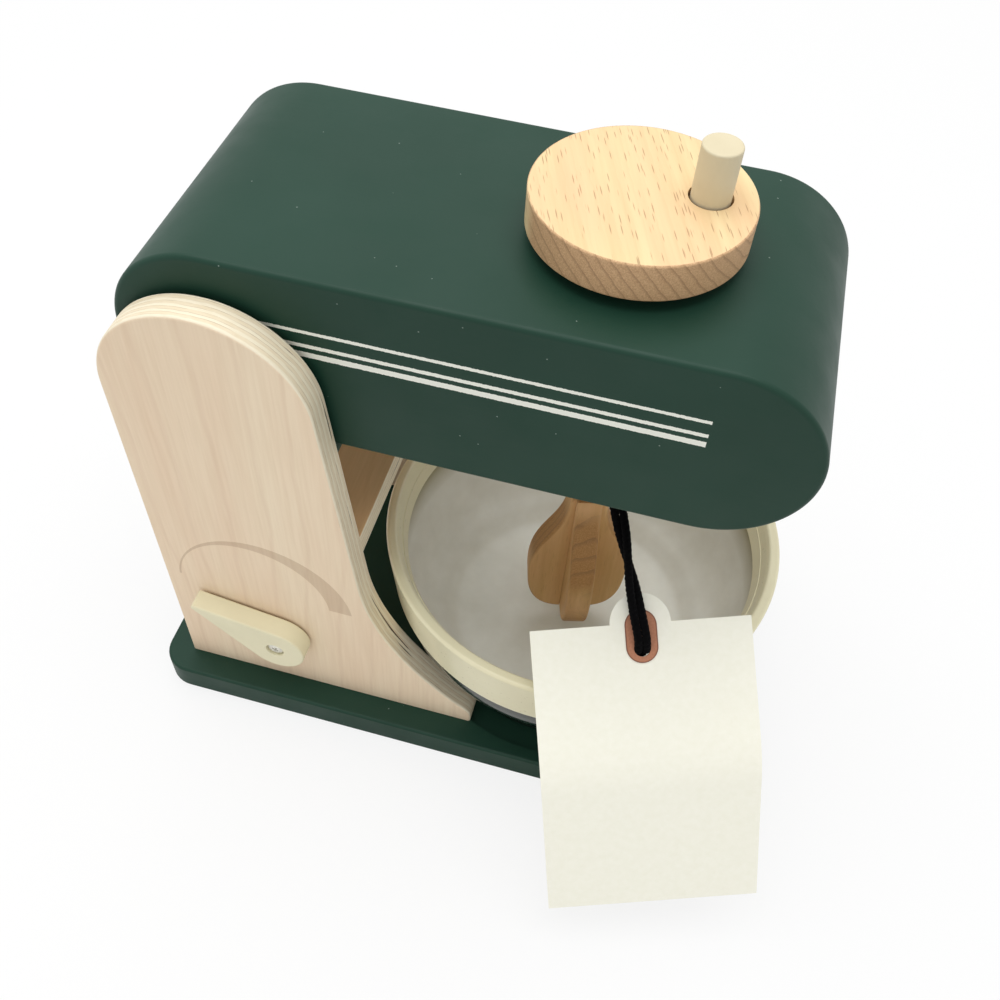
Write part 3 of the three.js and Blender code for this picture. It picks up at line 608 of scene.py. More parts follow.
route = [
    *strand_points(STRAND),
    *(at_shaft(LOOP_RADIUS, MOUTH_TURN - 2 * math.pi * index / LOOP_POINTS)
      for index in range(1, LOOP_POINTS)),
    *reversed(strand_points(-STRAND)),
]
cord_path = catmull_rom(
    [2 * route[0] - route[1], *route, 2 * route[-1] - route[-2]], 0.5,
    lambda length: max(2, round(STEPS_PER_METRE * length)))

# %% [markdown]
# ## Cord and knot pieces
# The knot behind the tag keeps the cord from slipping out. A trefoil is the shape that an
# overhand knot pulls into, so its curve is written down and spun from the same yarn.

# %% Spin the cord and the knot
KNOT_SIZE, KNOT_HEIGHT, KNOT_DEPTH, KNOT_POINTS = 0.66, -3.7, 1.3, 48

knot_curve = []
for index in range(KNOT_POINTS):
    a = 2 * math.pi * index / KNOT_POINTS
    knot_curve.append(on_tag(
        KNOT_SIZE * (math.sin(a) + 2 * math.sin(2 * a)),
        KNOT_SIZE * (math.cos(a) - 2 * math.cos(2 * a)),
        KNOT_HEIGHT - KNOT_DEPTH * math.sin(3 * a),
    ))
tag_cord = spun_yarn("cord", cord_path, False, black_yarn)
knot = spun_yarn("knot", knot_curve, True, black_yarn)

# %% [markdown]
# ## Light, floor and background
# One large soft light hangs above the mixer, as a bright ceiling lights a white table, and the
# pale floor throws light back up at the side panels. The sky round it is plain white where the
# camera or a reflection would see it, and weaker for lighting. The camera sees the floor
# mostly as a glow, and further away only as that, so that it fades into the white behind it.

# %% Light
LIGHT_PLACE, LIGHT_AIM, LIGHT_SIZE, LIGHT_POWER = (-0.12, 0.12, 1.45), (0, 0, 0.1), 1.4, 15.0

lamp = bpy.data.lights.new("ceiling", "AREA")
lamp.shape = "SQUARE"
lamp.size = LIGHT_SIZE
lamp.energy = LIGHT_POWER
ceiling = added("ceiling", lamp)
ceiling.location = LIGHT_PLACE
beam = Vector(LIGHT_AIM) - Vector(LIGHT_PLACE)
ceiling.rotation_euler = beam.to_track_quat("-Z", "Y").to_euler()
print("ceiling light:", LIGHT_SIZE, "m wide,", LIGHT_POWER, "W")

scene = bpy.context.scene
scene.view_settings.view_transform = "Standard"
world = bpy.data.worlds.new("studio")
scene.world = world
world.use_nodes = True
sky = world.node_tree
sky.nodes.clear()
WHITE, SKY_STRENGTHS = (1, 1, 1, 1), (0.66, 1.0)
seen = node(sky, "ShaderNodeLightPath").outputs
straight = calculate("MAXIMUM", seen["Is Camera Ray"], seen["Is Transmission Ray"])
straight = calculate("MAXIMUM", straight, seen["Is Glossy Ray"])
dim, bright = (
    node(sky, "ShaderNodeBackground", {"Color": WHITE, "Strength": strength})
    for strength in SKY_STRENGTHS
)
both = node(sky, "ShaderNodeMixShader", {0: straight, 1: dim, 2: bright})
node(sky, "ShaderNodeOutputWorld", {"Surface": both})

# %% Floor
FLOOR_SIZE, FLOOR_DEPTH = 3000, -0.05
FADE_START, FADE_END, GLOW = 0.4, 1.6, 0.8

floor_mesh = bmesh.new()
bmesh.ops.create_grid(floor_mesh, x_segments=1, y_segments=1, size=FLOOR_SIZE)
for vert in floor_mesh.verts:
    vert.co.z = FLOOR_DEPTH
floor = solid("floor", floor_mesh)
floor_look, coords = new_look("pale floor")
tree = floor_look.node_tree
shader = tree.nodes["Principled BSDF"]
fill(shader, {"Base Color": (0.86, 0.865, 0.865, 1), "Roughness": 0.9, "Specular IOR Level": 0.1})
glow = node(tree, "ShaderNodeEmission", {"Color": WHITE, "Strength": 1.0})
to_camera = node(tree, "ShaderNodeLightPath").outputs["Is Camera Ray"]
share = product(to_camera, remap(length_of(coords), FADE_START, FADE_END, GLOW, 1.0))
shown = node(tree, "ShaderNodeMixShader", {0: share, 1: shader, 2: glow})
fill(tree.nodes["Material Output"], {"Surface": shown})
floor.data.materials.append(floor_look)
floor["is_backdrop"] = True

# %% [markdown]
# ## Green paint
# The board, the head and the rail are sprayed with a satin green. Close up it has a faint
# orange peel, long low ripples where the wood shows through, a slightly uneven tone, and a
# few pale specks of dust. The stripes along the near side of the head are printed on it, so
# that piece gets a second version of the paint with the stripes masked in.

# %% Green paint
STRIPE_ENDS, STRIPE_SIDE, RAGGED = (-59, 76.5), -47.3, 0.08


def specks(coords, scale, share):
    """How near the closest of many scattered points is, and a mask of the share that count."""
    cells = node(coords.id_data, "ShaderNodeTexVoronoi", {"Vector": coords, "Scale": scale})
    chance = parts_of(cells.outputs["Color"])[0]
    return cells.outputs["Distance"], above(chance, 1 - share)


def sprayed(look, coords):
    """The dusty green of a painted board, with the rest of its surface filled in."""
    tone = cloud(coords, 14, 3)
    ripple = cloud(stretched(coords, (30, 420, 420)), 1, 2)
    peel = product(cloud(coords, 900, 2), 0.4)
    surfaced(look, {
        "Roughness": varied(cloud(coords, 60, 3), 0.41, 0.52),
        "Specular IOR Level": 0.22,
    }, calculate("ADD", peel, ripple), 0.02)
    near, some = specks(coords, 170.0, 0.25)
    dust = product(below(near, 0.04), some, 0.35)
    return mixed(dust, toned(tone, (24, 56, 43), (28, 61, 48)), (190, 205, 196))


def band(value, low, high):
    """1 where a value lies between two others, given in millimetres."""
    return product(above(value, low * MM), below(value, high * MM))


def green_look(name, stripes=()):
    look, coords = new_look(name)
    paint = sprayed(look, coords)
    x, y, z = parts_of(coords)
    ragged = varied(cloud(coords, 1500, 1), -RAGGED * MM, RAGGED * MM)
    height = calculate("ADD", z, ragged)
    for middle, width in stripes:
        mask = product(band(height, middle - width / 2, middle + width / 2),
                       band(x, *STRIPE_ENDS), below(y, STRIPE_SIDE * MM))
        paint = mixed(mask, paint, (238, 239, 228))
    fill(look.node_tree.nodes["Principled BSDF"], {"Base Color": paint})
    return look


green_paint = green_look("green paint")
striped_paint = green_look("green paint with stripes", [
    (PIVOT_Z + 13.9, 1.2), (PIVOT_Z + 8.5, 1.4), (PIVOT_Z + 5.0, 2.1),
])

# %% [markdown]
# ## Plywood
# Plywood is a stack of thin layers. A solid pattern gives that for nothing: the distance
# across the board says which layer a point is in, so the faces come out as one clean veneer
# and every cut edge shows its plies. Every other layer is a little browner, with a broken
# thin glue line between them and now and then a dark void. The face has wavy grain.

# %% Plywood
PLY, LAYERS = 10.8, 9
PANEL_INNER, PANEL_OUTER = 49.5, 60.3
SHELF_LOW, SHELF_TOP = 98.2, 109
SWEEP_OUTER, OUTER_RADIUS = (PIVOT_X + 5, 70), 34.8
SWEEP_INNER, INNER_RADIUS = (PIVOT_X + 1, 71.5), 29.8
SWEEP_LOW, SWEEP_SIDE = 73.4, -60.2


def ply_edge(coords, upright, layer):
    """The colour of the cut edge. Its streaks are long in every direction but the layers'."""
    def streaks(length, across, detail, roughness=0.5):
        scale = (length, across, length) if upright else (length, length, across)
        return cloud(stretched(coords, scale), 1, detail, roughness)
    layer = calculate("ADD", layer, varied(cloud(coords, 90, 3), -0.2, 0.2))
    odd = calculate("MODULO", calculate("FLOOR", layer), 2.0)
    fibres = streaks(260, 1500, 4, 0.65)
    ply = mixed(odd, mixed(fibres, (232, 219, 190), (249, 240, 218)),
                mixed(fibres, (222, 204, 170), (243, 231, 205)))
    glue = below(calculate("FRACT", layer), 0.16)
    glue = product(glue, remap(streaks(120, 900, 2), 0.4, 0.6), 0.5)
    ply = mixed(glue, ply, (166, 138, 102))
    voids = product(remap(streaks(26, 700, 1), 0.645, 0.68), odd)
    return mixed(voids, ply, (74, 50, 34))


def ring_lines(coords, scale, distortion, detail_scale, direction, profile="SIN"):
    """Wavy lines, as growth rings leave them where a board is cut."""
    return node(coords.id_data, "ShaderNodeTexWave", {
        "Vector": coords, "Scale": scale, "Distortion": distortion, "Detail": 2.0,
        "Detail Scale": detail_scale,
    }, wave_type="BANDS", bands_direction=direction, wave_profile=profile).outputs["Fac"]


def ply_face(coords, upright, tint):
    """The colour of the face veneer, its grain running along +Z or +Y, and its fine threads."""
    def grain(across, along, detail, roughness=0.5):
        scale = (across, across, along) if upright else (across, along, across)
        return cloud(stretched(coords, scale), 1, detail, roughness)
    veneer = toned(grain(60, 7, 3, 0.55), (238, 213, 184), (243, 224, 195))
    threads = remap(grain(900, 34, 3), 0.35, 0.7)
    veneer = mixed(product(threads, 0.22), veneer, (214, 188, 156))
    wander = cloud(stretched(coords, (9, 9, 6)), 1.0, 1.0, kind="Color")
    wander = on_vector("SCALE", {0: wander, "Scale": 0.035})
    rings = ring_lines(on_vector("ADD", {0: coords, 1: wander}), 24.0, 0.6, 2.0, "X")
    line = product(remap(rings, 0.93, 1.0), 0.14)
    veneer = mixed(line, veneer, (206, 172, 144))
    return mixed(1.0, veneer, tint, "MULTIPLY"), threads


def facing(coords, axis, low, high, rotation=(0, 0, 0)):
    """How squarely a face looks along an axis, either way, spread over a range."""
    normal = stretched(coords.node.outputs["Normal"], (1, 1, 1), rotation)
    return remap(calculate("ABSOLUTE", parts_of(normal)[axis]), low, high)


def plywood_look(name, axis, start, tint, printed=None):
    look, coords = new_look(name)
    parts = parts_of(coords)
    across = calculate("ABSOLUTE", parts[1]) if axis == 1 else parts[2]
    deep = calculate("DIVIDE", calculate("SUBTRACT", across, start * MM), PLY * MM)
    edge = ply_edge(coords, axis == 1, product(deep, float(LAYERS)))
    face, threads = ply_face(coords, axis == 1, tint)
    wood = mixed(facing(coords, axis, 0.72, 0.86), edge, face)
    if printed:
        wood = mixed(printed(parts), wood, (225, 219, 214), "MULTIPLY")
    return surfaced(look, {
        "Base Color": wood, "Roughness": remap(threads, 0, 1, 0.5, 0.62),
        "Specular IOR Level": 0.3,
    }, threads, 0.03)


def far_from(parts, x, z):
    """How far a point is from a place in XZ, in metres."""
    return length_of(node(parts[0].id_data, "ShaderNodeCombineXYZ", {
        0: calculate("SUBTRACT", parts[0], x * MM), 1: calculate("SUBTRACT", parts[2], z * MM),
    }))


def speed_print(parts):
    """The printed sweep above the lever: inside one circle and outside another."""
    inside = below(far_from(parts, *SWEEP_OUTER), OUTER_RADIUS * MM)
    outside = above(far_from(parts, *SWEEP_INNER), INNER_RADIUS * MM)
    over, near = above(parts[2], SWEEP_LOW * MM), below(parts[1], SWEEP_SIDE * MM)
    return product(inside, outside, over, near, 0.85)


birch, tanned = (255, 255, 255), (244, 220, 188)
panel_plywood = plywood_look("panel plywood", 1, PANEL_INNER, birch)
printed_plywood = plywood_look("printed plywood", 1, PANEL_INNER, birch, speed_print)
shelf_plywood = plywood_look("shelf plywood", 2, SHELF_LOW, tanned)

# %% [markdown]
# ## Beech
# Beech is pink-gold with short dark flecks that lie along the grain. Seen on end it is darker
# and shows its rings as lines across the edge. The pattern is solid again: a rotation turns
# the board's grain to the pattern's own X, so one recipe serves every piece of beech.

# %% Beech
def beech_look(name, rotation, pale, deep, ends, lean=-22.0, flecks=0.2):
    look, coords = new_look(name)
    grain = stretched(coords, (1, 1, 1), rotation)
    streaks = cloud(stretched(grain, (14, 300, 300)), 1, 4, 0.6)
    wood = toned(streaks, deep, pale, 0.3, 0.72)
    blush = cloud(stretched(grain, (12, 40, 40)), 1, 2)
    wood = mixed(remap(blush, 0.42, 0.7, 0, 0.5), wood, (242, 186, 148))
    leaning = stretched(grain, (1, 1, 1), (math.radians(lean), 0, 0))
    rings = ring_lines(leaning, 105.0, 1.4, 1.5, "Y", "SAW")
    ring_line = remap(rings, 0.72, 1.0)
    wood = mixed(product(ring_line, 0.12), wood, (206, 164, 116))
    near, some = specks(stretched(grain, (110, 1550, 1550)), 1.0, 0.65)
    fleck = product(remap(near, 0.16, 0.3, 1.0, 0.0), some)
    wood = mixed(product(fleck, flecks), wood, (150, 108, 76))
    dark = toned(cloud(coords, 2600, 2, 0.7), *ends, 0.35)
    dark = mixed(product(ring_line, 0.6), dark, (146, 110, 78))
    return surfaced(look, {
        "Base Color": mixed(facing(coords, 0, 0.06, 0.25, rotation), wood, dark),
        "Roughness": varied(streaks, 0.5, 0.6), "Specular IOR Level": 0.3,
    }, calculate("SUBTRACT", streaks, fleck), 0.05)


plain_beech = ((233, 218, 168), (222, 199, 148), ((190, 150, 110), (222, 185, 142)))
brown_beech = ((226, 186, 130), (208, 164, 106), ((176, 128, 80), (204, 158, 104)))
beech_disc = beech_look("beech disc", (0, 0, math.radians(70)), *plain_beech, -38.0, 0.6)
beech_upright = beech_look("upright beech", (0, math.radians(90), 0), *brown_beech)
beech_crosswise = beech_look("crosswise beech", (0, 0, math.radians(90)), *plain_beech)

# %% [markdown]
# ## Cream paint and lacquer
# The lever and the peg are dipped in cream paint, which dries a little uneven. The bowl is
# lacquered: cream on its rim, paler and less glossy inside, and a glossy green that is nearly
# black outside. High on the inside wall, just under the rim, the colour turns olive: this is
# painted shade, standing in for the shadow under the rim's inner lip.

# %% Cream paint
# How far up the inside wall, in millimetres, the painted shade under the rim deepens to olive.
RIM_SHADE_RISE = 12


def dipped_look(name, base, shadow, rough, coat=0.0, peel=0.012, rim_shade_from=None):
    look, coords = new_look(name)
    paint = toned(cloud(coords, 45, 4, 0.6), shadow, base)
    # Painted shade: the wall darkens to olive as it rises towards the rim, as if shaded by the lip.
    if rim_shade_from:
        rim_shade = remap(parts_of(coords)[2], rim_shade_from * MM, (rim_shade_from + RIM_SHADE_RISE) * MM)
        paint = mixed(rim_shade, paint, (166, 159, 128))
    fine = cloud(coords, 700, 3)
    return surfaced(look, {
        "Base Color": paint, "Specular IOR Level": 0.35,
        "Roughness": varied(fine, rough - 0.05, rough + 0.05),
        "Coat Weight": coat, "Coat Roughness": 0.15,
    }, fine, peel)


lever_paint = dipped_look("lever paint", (236, 229, 196), (228, 221, 188), 0.5)
peg_paint = dipped_look("peg paint", (216, 205, 174), (208, 196, 164), 0.55)
rim_lacquer = dipped_look("rim lacquer", (236, 229, 194), (229, 221, 186), 0.32,
                          coat=0.3, peel=0.003)
# The bowl's inside gets painted shade under the rim, starting 55 mm up.
bowl_inside = dipped_look("bowl inside", (244, 244, 236), (230, 229, 219), 0.5,
                          peel=0.006, rim_shade_from=55)
bowl_outside = dipped_look("bowl outside", (17, 30, 23), (12, 23, 18), 0.16, coat=0.6, peel=0.002)

# %% [markdown]
# ## Card, patch, metal and nylon
# The tag is thick uncoated card with a faint tooth. The patch is a brown print with a fine
# dark outline, drawn from its own UV map so that the line follows its edge. Screws and axle
# are zinc-plated steel, the lever's insert is brass, and bushes and washers are nylon.

# %% Card, metal and nylon
PATCH_RADIUS, PATCH_LOW, PATCH_HIGH = 5.5, 0.5, 7.8
UV_UNIT = 10


def card_look():
    look, coords = new_look("card")
    fibres = cloud(coords, 420, 5, 0.65)
    return surfaced(look, {
        "Base Color": toned(fibres, (248, 246, 230), (252, 250, 236)),
        "Roughness": 0.85, "Specular IOR Level": 0.2,
    }, fibres, 0.02)


def patch_look():
    look, coords = new_look("tan print")
    tree = look.node_tree
    x, y, _ = parts_of(node(tree, "ShaderNodeUVMap", uv_map="flat"))
    held = calculate("MAXIMUM", y, PATCH_LOW / UV_UNIT)
    held = calculate("MINIMUM", held, PATCH_HIGH / UV_UNIT)
    off = node(tree, "ShaderNodeCombineXYZ", {0: x, 1: calculate("SUBTRACT", y, held)})
    edge = PATCH_RADIUS / UV_UNIT
    rim = remap(length_of(off), edge - 0.045, edge - 0.03)
    fine = cloud(coords, 1400, 4, 0.7)
    tan = toned(fine, (168, 112, 84), (188, 130, 100))
    return surfaced(look, {
        "Base Color": mixed(rim, tan, (128, 82, 62)), "Roughness": 0.8,
    }, fine, 0.03)


def metal_look(name, base, dull, rough):
    look, coords = new_look(name)
    worn = cloud(stretched(coords, (900, 900, 200)), 1, 4, 0.7)
    return surfaced(look, {
        "Base Color": toned(worn, dull, base, 0.35), "Metallic": 1.0,
        "Roughness": varied(worn, rough - 0.08, rough + 0.1),
    }, worn, 0.01)


card = card_look()
steel = metal_look("zinc steel", (232, 230, 220), (208, 206, 196), 0.45)
brass = metal_look("brass", (206, 172, 96), (168, 134, 70), 0.35)
nylon = dipped_look("white nylon", (236, 234, 226), (228, 226, 216), 0.45)

# %% [markdown]
# ## Base board
# The board has rounded corners and eased edges. The bowl's recess is a shallow round pit in
# its top, and the panel screws sit in six round pits underneath.

# %% Base board
BASE_HALF, BASE_CORNER, BASE_TOP, BASE_EDGE = (117.5, 71), 12, 13.5, 1.2
RECESS_RADIUS, RECESS_DEPTH = 65.5, 2.5
SINK_RADIUS, SINK_DEPTH = 3.55, 3.1
PANEL_REAR, TOE_X, PANEL_MIDDLE = -106.5, 16.05, 54.9


def rounded_rectangle(half_x, half_y, radius, steps=10):
    made = []
    for index, (sx, sy) in enumerate(((1, -1), (1, 1), (-1, 1), (-1, -1))):
        start = math.pi / 2 * (index - 1)
        made += arc(sx * (half_x - radius), sy * (half_y - radius), radius,
                    start, start + math.pi / 2, steps)
    return made


screw_places = [(PANEL_REAR + (TOE_X - PANEL_REAR) * share, side * PANEL_MIDDLE)
                for side in (-1, 1) for share in (0.1, 0.45, 0.8)]
pits = [(circle(SHAFT_X, 0, RECESS_RADIUS, 128), RECESS_DEPTH, True)]
pits += [(circle(x, y, SINK_RADIUS, 24), SINK_DEPTH, False) for x, y in screw_places]
base_board = solid("base_board", board(
    rounded_rectangle(*BASE_HALF, BASE_CORNER), 0, BASE_TOP, BASE_EDGE, BASE_EDGE, pits))
finish_piece(base_board, green_paint, "base", "green_paint", "base_plate")

# %% [markdown]
# ## Side panels
# One outline serves both panels: a round crown over the axle, a straight front that leaves it
# as a tangent and leans forward to a waist, and a long sweep forward round the bowl to a thin
# toe. It is drawn a little below the board's top and trimmed there, so the foot stands square
# and the rest is eased.

# %% Side panels
BROW_X, WAIST_X, WAIST_Z, ANKLE_X, ANKLE_Z = -36.4, -27.56, 92, 10.49, 24.5
TOE_Z, CROWN_RISE, WAIST_PULL_Z = 17, 21.5, 59
TOE_PULL, ANKLE_PULL_DOWN, ANKLE_PULL_UP = (TOE_X, 19.5), (TOE_X - 1.85, 22), (ANKLE_X - 13.5, 36)


def panel_outline():
    crown = (BROW_X - PANEL_REAR) / 2
    crown_x, crown_z = PANEL_REAR + crown, PIVOT_Z + CROWN_RISE - crown
    aside, down = WAIST_X - crown_x, WAIST_Z - crown_z
    brow_turn = math.atan2(down, aside) + math.acos(crown / math.hypot(aside, down))
    waist_pull = WAIST_X + (WAIST_Z - WAIST_PULL_Z) * math.tan(brow_turn), WAIST_PULL_Z
    toe, ankle, waist = (TOE_X, TOE_Z), (ANKLE_X, ANKLE_Z), (WAIST_X, WAIST_Z)
    points = [(PANEL_REAR, BASE_TOP - 1), (TOE_X, BASE_TOP - 1), toe]
    points += bezier(toe, TOE_PULL, ANKLE_PULL_DOWN, ankle, 8)
    points += bezier(ankle, ANKLE_PULL_UP, waist_pull, waist, 36)
    points += arc(crown_x, crown_z, crown, brow_turn, math.pi, 72)
    return points


def side_panel(name, side, look, replaced):
    low, high = sorted((side * PANEL_INNER, side * PANEL_OUTER))
    mesh = standing(board(panel_outline(), low, high, 1, 1))
    planed(mesh, (0, 0, BASE_TOP), (0, 0, 1), clear_inner=True)
    bmesh.ops.holes_fill(mesh, edges=[e for e in mesh.edges if e.is_boundary], sides=0)
    finish_piece(solid(name, mesh), look, "base", "plywood", replaced)


side_panel("near_panel", -1, printed_plywood, "right_side_panel")
side_panel("far_panel", 1, panel_plywood, "left_side_panel")

# %% [markdown]
# ## A lathe in Geometry Nodes
# The bowl, the shaft, the collar, the peg, the rail, the screws and the dowels are all turned.
# The rule is the same for each: a profile is repeated round an axis. The tree makes a grid
# with one row for each profile point and one column for each step round, sends every grid
# point to its place, and merges the seam and the poles.

# %% The lathe's node tree
def lathe_tree():
    tree, given = new_group("lathe", ("Steps", "Int", 96), ("Centre", "Vector", None))
    rows = node(tree, "GeometryNodeAttributeDomainSize",
                {"Geometry": given["Geometry"]}).outputs["Point Count"]
    columns = calculate("ADD", given["Steps"], 1.0)
    grid = node(tree, "GeometryNodeMeshGrid", {"Vertices X": rows, "Vertices Y": columns})
    index = node(tree, "GeometryNodeInputIndex")
    row = calculate("FLOOR", calculate("DIVIDE", calculate("ADD", index, 0.5), columns))
    column = calculate("SUBTRACT", index, product(row, columns))
    angle = product(calculate("DIVIDE", column, given["Steps"]), 2 * math.pi)
    profile = node(tree, "GeometryNodeSampleIndex", {
        "Geometry": given["Geometry"], "Value": node(tree, "GeometryNodeInputPosition"),
        "Index": row,
    }, data_type="FLOAT_VECTOR")
    turned_round = node(tree, "ShaderNodeVectorRotate",
                        {"Vector": profile, "Angle": angle}, rotation_type="Z_AXIS")
    moved = on_vector("ADD", {0: turned_round, 1: given["Centre"]})
    placed = node(tree, "GeometryNodeSetPosition", {"Geometry": grid, "Position": moved})
    merged = node(tree, "GeometryNodeMergeByDistance", {"Geometry": placed, "Distance": 0.01 * MM})
    return end_group(given, merged)


lathe = lathe_tree()

# %% Turned pieces
ON_SHAFT, SLEEVE_BORE = (SHAFT_X, 0), 6.15
LAID_DOWN = Matrix.Rotation(math.radians(-90), 4, "X")


def rod(radius, low, high, edges, steps=5):
    """The profile of a rod, its lower and upper edges rounded."""
    return softened([(0, low, 0), (radius, low, edges[0]), (radius, high, edges[1]),
                     (0, high, 0)], steps)


def sleeve(radius, low, high, edge, steps=5):
    """The profile of a sleeve on the shaft."""
    return softened([(SLEEVE_BORE, low, 0), (radius, low, edge), (radius, high, edge),
                     (SLEEVE_BORE, high, 0), (SLEEVE_BORE, low, 0)], steps)


def turned(name, profile, look, steps=64, centre=(0, 0)):
    """A profile of (radius, height) in millimetres turned round the vertical through centre."""
    data = bpy.data.meshes.new(name)
    points = [(radius * MM, 0, height * MM) for radius, height in profile]
    data.from_pydata(points, [(i, i + 1) for i in range(len(points) - 1)], [])
    made = grown(added(name, data), lathe, Steps=steps, Centre=Vector((*centre, 0)) * MM, Look=look)
    mesh = bmesh.new()
    mesh.from_mesh(made.data)
    bmesh.ops.recalc_face_normals(mesh, faces=mesh.faces)
    mesh.to_mesh(made.data)
    mesh.free()
    return made

# %% [markdown]
# ## Shelf and stop rail
# A plywood shelf ties the panels together half way up, and a painted rail under the head is
# what the head rests on when it is down.

# %% Shelf and stop rail
SHELF_REAR, SHELF_FRONT, SHELF_EDGE = -103, -29.96, 0.5
RAIL_X, RAIL_Z, RAIL_RADIUS, RAIL_HALF = -42, 149.7, 5.5, 54.5

shelf_outline = rectangle(SHELF_REAR, SHELF_FRONT, PANEL_INNER)
shelf = solid("shelf", board(shelf_outline, SHELF_LOW, SHELF_TOP, SHELF_EDGE, SHELF_EDGE))
finish_piece(shelf, shelf_plywood, "base", "plywood", "cross_shelf")

rail = turned("rail", rod(RAIL_RADIUS, -RAIL_HALF, RAIL_HALF, (0.5, 0.5)), green_paint, 48)
rail.data.transform(Matrix.Translation(Vector((RAIL_X, 0, RAIL_Z)) * MM) @ LAID_DOWN)
finish_piece(rail, green_paint, "base", "green_paint", "stop_rail")

# %% [markdown]
# ## Panel screws and shelf dowels
# Six countersunk screws come up through the board into the panels, and four dowels pin the
# shelf. Repeats are what instances are for: one screw or dowel is modelled at the origin, and
# a small tree puts a copy on each point of a mesh that has only points.

# %% Copies on points
def copies_tree():
    tree, given = new_group("copies on points", ("Original", "Object", None))
    original = node(tree, "GeometryNodeObjectInfo", {"Object": given["Original"]})
    spread = node(tree, "GeometryNodeInstanceOnPoints", {
        "Points": given["Geometry"], "Instance": original.outputs["Geometry"]})
    return end_group(given, spread)


copies = copies_tree()


def repeated(name, original, places, look):
    """A copy of an original, which is removed, at each place in millimetres."""
    data = bpy.data.meshes.new(name)
    data.from_pydata([Vector(place) * MM for place in places], [], [])
    made = grown(added(name, data), copies, Original=original, Look=look)
    bpy.data.objects.remove(original)
    return made

# %% Screws and dowels
CROSS_LONG, CROSS_WIDE, CROSS_TAPER, CROSS_DEPTH = 3.7, 0.85, 0.55, 1.1
DOWEL_X, DOWEL_Y, DOWEL_Z, DOWEL_RADIUS, DOWEL_HALF = (-88.48, -44.48), 43.5, 103.6, 3, 12


def cross_cutter(height, turn_by=0.0):
    """Two crossed bars that taper, for a screwdriver's cross in a head that faces down."""
    cutters = []
    for extra in (0, 90):
        mesh = bmesh.new()
        bmesh.ops.create_cube(mesh, size=1)
        for vert in mesh.verts:
            narrow = CROSS_TAPER if vert.co.z > 0 else 1.0
            vert.co.x *= CROSS_LONG * narrow
            vert.co.y *= CROSS_WIDE * narrow
            vert.co.z = vert.co.z * (CROSS_DEPTH + 1) + (CROSS_DEPTH - 1) / 2
        spot = Matrix.Translation((0, 0, height)) @ Matrix.Rotation(
            math.radians(extra + turn_by), 4, "Z")
        bmesh.ops.transform(mesh, matrix=spot, verts=mesh.verts)
        cutters.append(solid("cutter", mesh))
    return cutters


one_screw = turned("one_screw", softened([
    (0, 0.4, 0), (3.4, 0.4, 0.15), (1.9, 2.8, 0.1), (1.9, 31, 0.1), (0, 34.4, 0),
], 3), steel, 32)
one_screw = cut_away(one_screw, *cross_cutter(0.4))
screws = repeated("panel_screws", one_screw, [(x, y, 0) for x, y in screw_places], steel)
finish_piece(screws, steel, "base", "zinc_steel", *(f"panel_screw_{i}" for i in range(1, 7)))

one_dowel = turned("one_dowel", rod(DOWEL_RADIUS, -DOWEL_HALF, DOWEL_HALF, (0.6, 0.6), 3),
                   beech_crosswise, 24)
one_dowel.data.transform(LAID_DOWN)
dowel_places = [(x, side * DOWEL_Y, DOWEL_Z) for side in (-1, 1) for x in DOWEL_X]
dowels = repeated("shelf_dowels", one_dowel, dowel_places, beech_crosswise)
finish_piece(dowels, beech_crosswise, "base", "beech", *(f"shelf_dowel_{i}" for i in range(1, 5)))

# %% [markdown]
# ## Speed lever
# The lever is a drop-shaped board that tapers to a narrow tip. Its screw sits in a round
# recess at the wide end. It is drawn along +X and turned to its rest angle.

# %% Speed lever
LEVER_X, LEVER_Z, LEVER_ANGLE = -61.7, 48.0, math.radians(-152)
LEVER_OUTER, LEVER_INNER, LEVER_REACH = -69.1, -61.1, 36.4
LEVER_WIDE, LEVER_TIP, HEAD_FACE, HEAD_PIT, PIT_DEPTH = 11.8, 1.2, -68.8, 3.7, 3


def lever_outline():
    tip_x = LEVER_REACH - LEVER_TIP
    spread = math.acos((LEVER_WIDE - LEVER_TIP) / tip_x)
    tip_arc = arc(tip_x, 0, LEVER_TIP, -spread, spread, 8)
    return tip_arc + arc(0, 0, LEVER_WIDE, spread, 2 * math.pi - spread, 56)


lever_mesh = standing(board(lever_outline(), LEVER_OUTER, LEVER_INNER, 0.7, 0.5,
                            [(circle(0, 0, HEAD_PIT, 40), PIT_DEPTH, False)]))
lever_turn = Matrix.Translation((LEVER_X, 0, LEVER_Z)) @ Matrix.Rotation(LEVER_ANGLE, 4, "Y")
bmesh.ops.transform(lever_mesh, matrix=lever_turn, verts=lever_mesh.verts)
finish_piece(solid("lever", lever_mesh), lever_paint, "lever", "cream_paint", "speed_lever")

lever_screw = turned("lever_screw_head", softened([
    (0, 0.0, 0), (1.8, 0.12, 0), (3.0, 0.5, 0.3), (3.4, 1.2, 0.2), (3.4, 2.4, 0), (1.9, 2.4, 0),
    (1.9, 15.5, 0.3), (0, 15.5, 0),
], 4), steel, 48)
lever_screw = cut_away(lever_screw, *cross_cutter(0, 28))
lever_screw.data.transform(
    Matrix.Translation(Vector((LEVER_X, HEAD_FACE, LEVER_Z)) * MM) @ LAID_DOWN)
finish_piece(lever_screw, steel, "base", "zinc_steel", "lever_screw")

# %% [markdown]
# ## Head
# The head is a box with round ends: a bent skin between two thicker cheeks. Only the cheeks'
# outer edges are rounded. All three get the same paint from the same solid pattern, so the
# joints between them don't show, as on the painted original.

# %% Head
HEAD_FRONT, HEAD_RADIUS, SKIN_THICKNESS = 78.0, 33.0, 4
CHEEK_INNER, CHEEK_OUTER, CHEEK_EDGE, AXLE_BORE = 38.5, 47.5, 1.6, 7.3
SHAFT_BORE, BELOW_HEAD, ABOVE_HEAD = 8.7, 150, 230


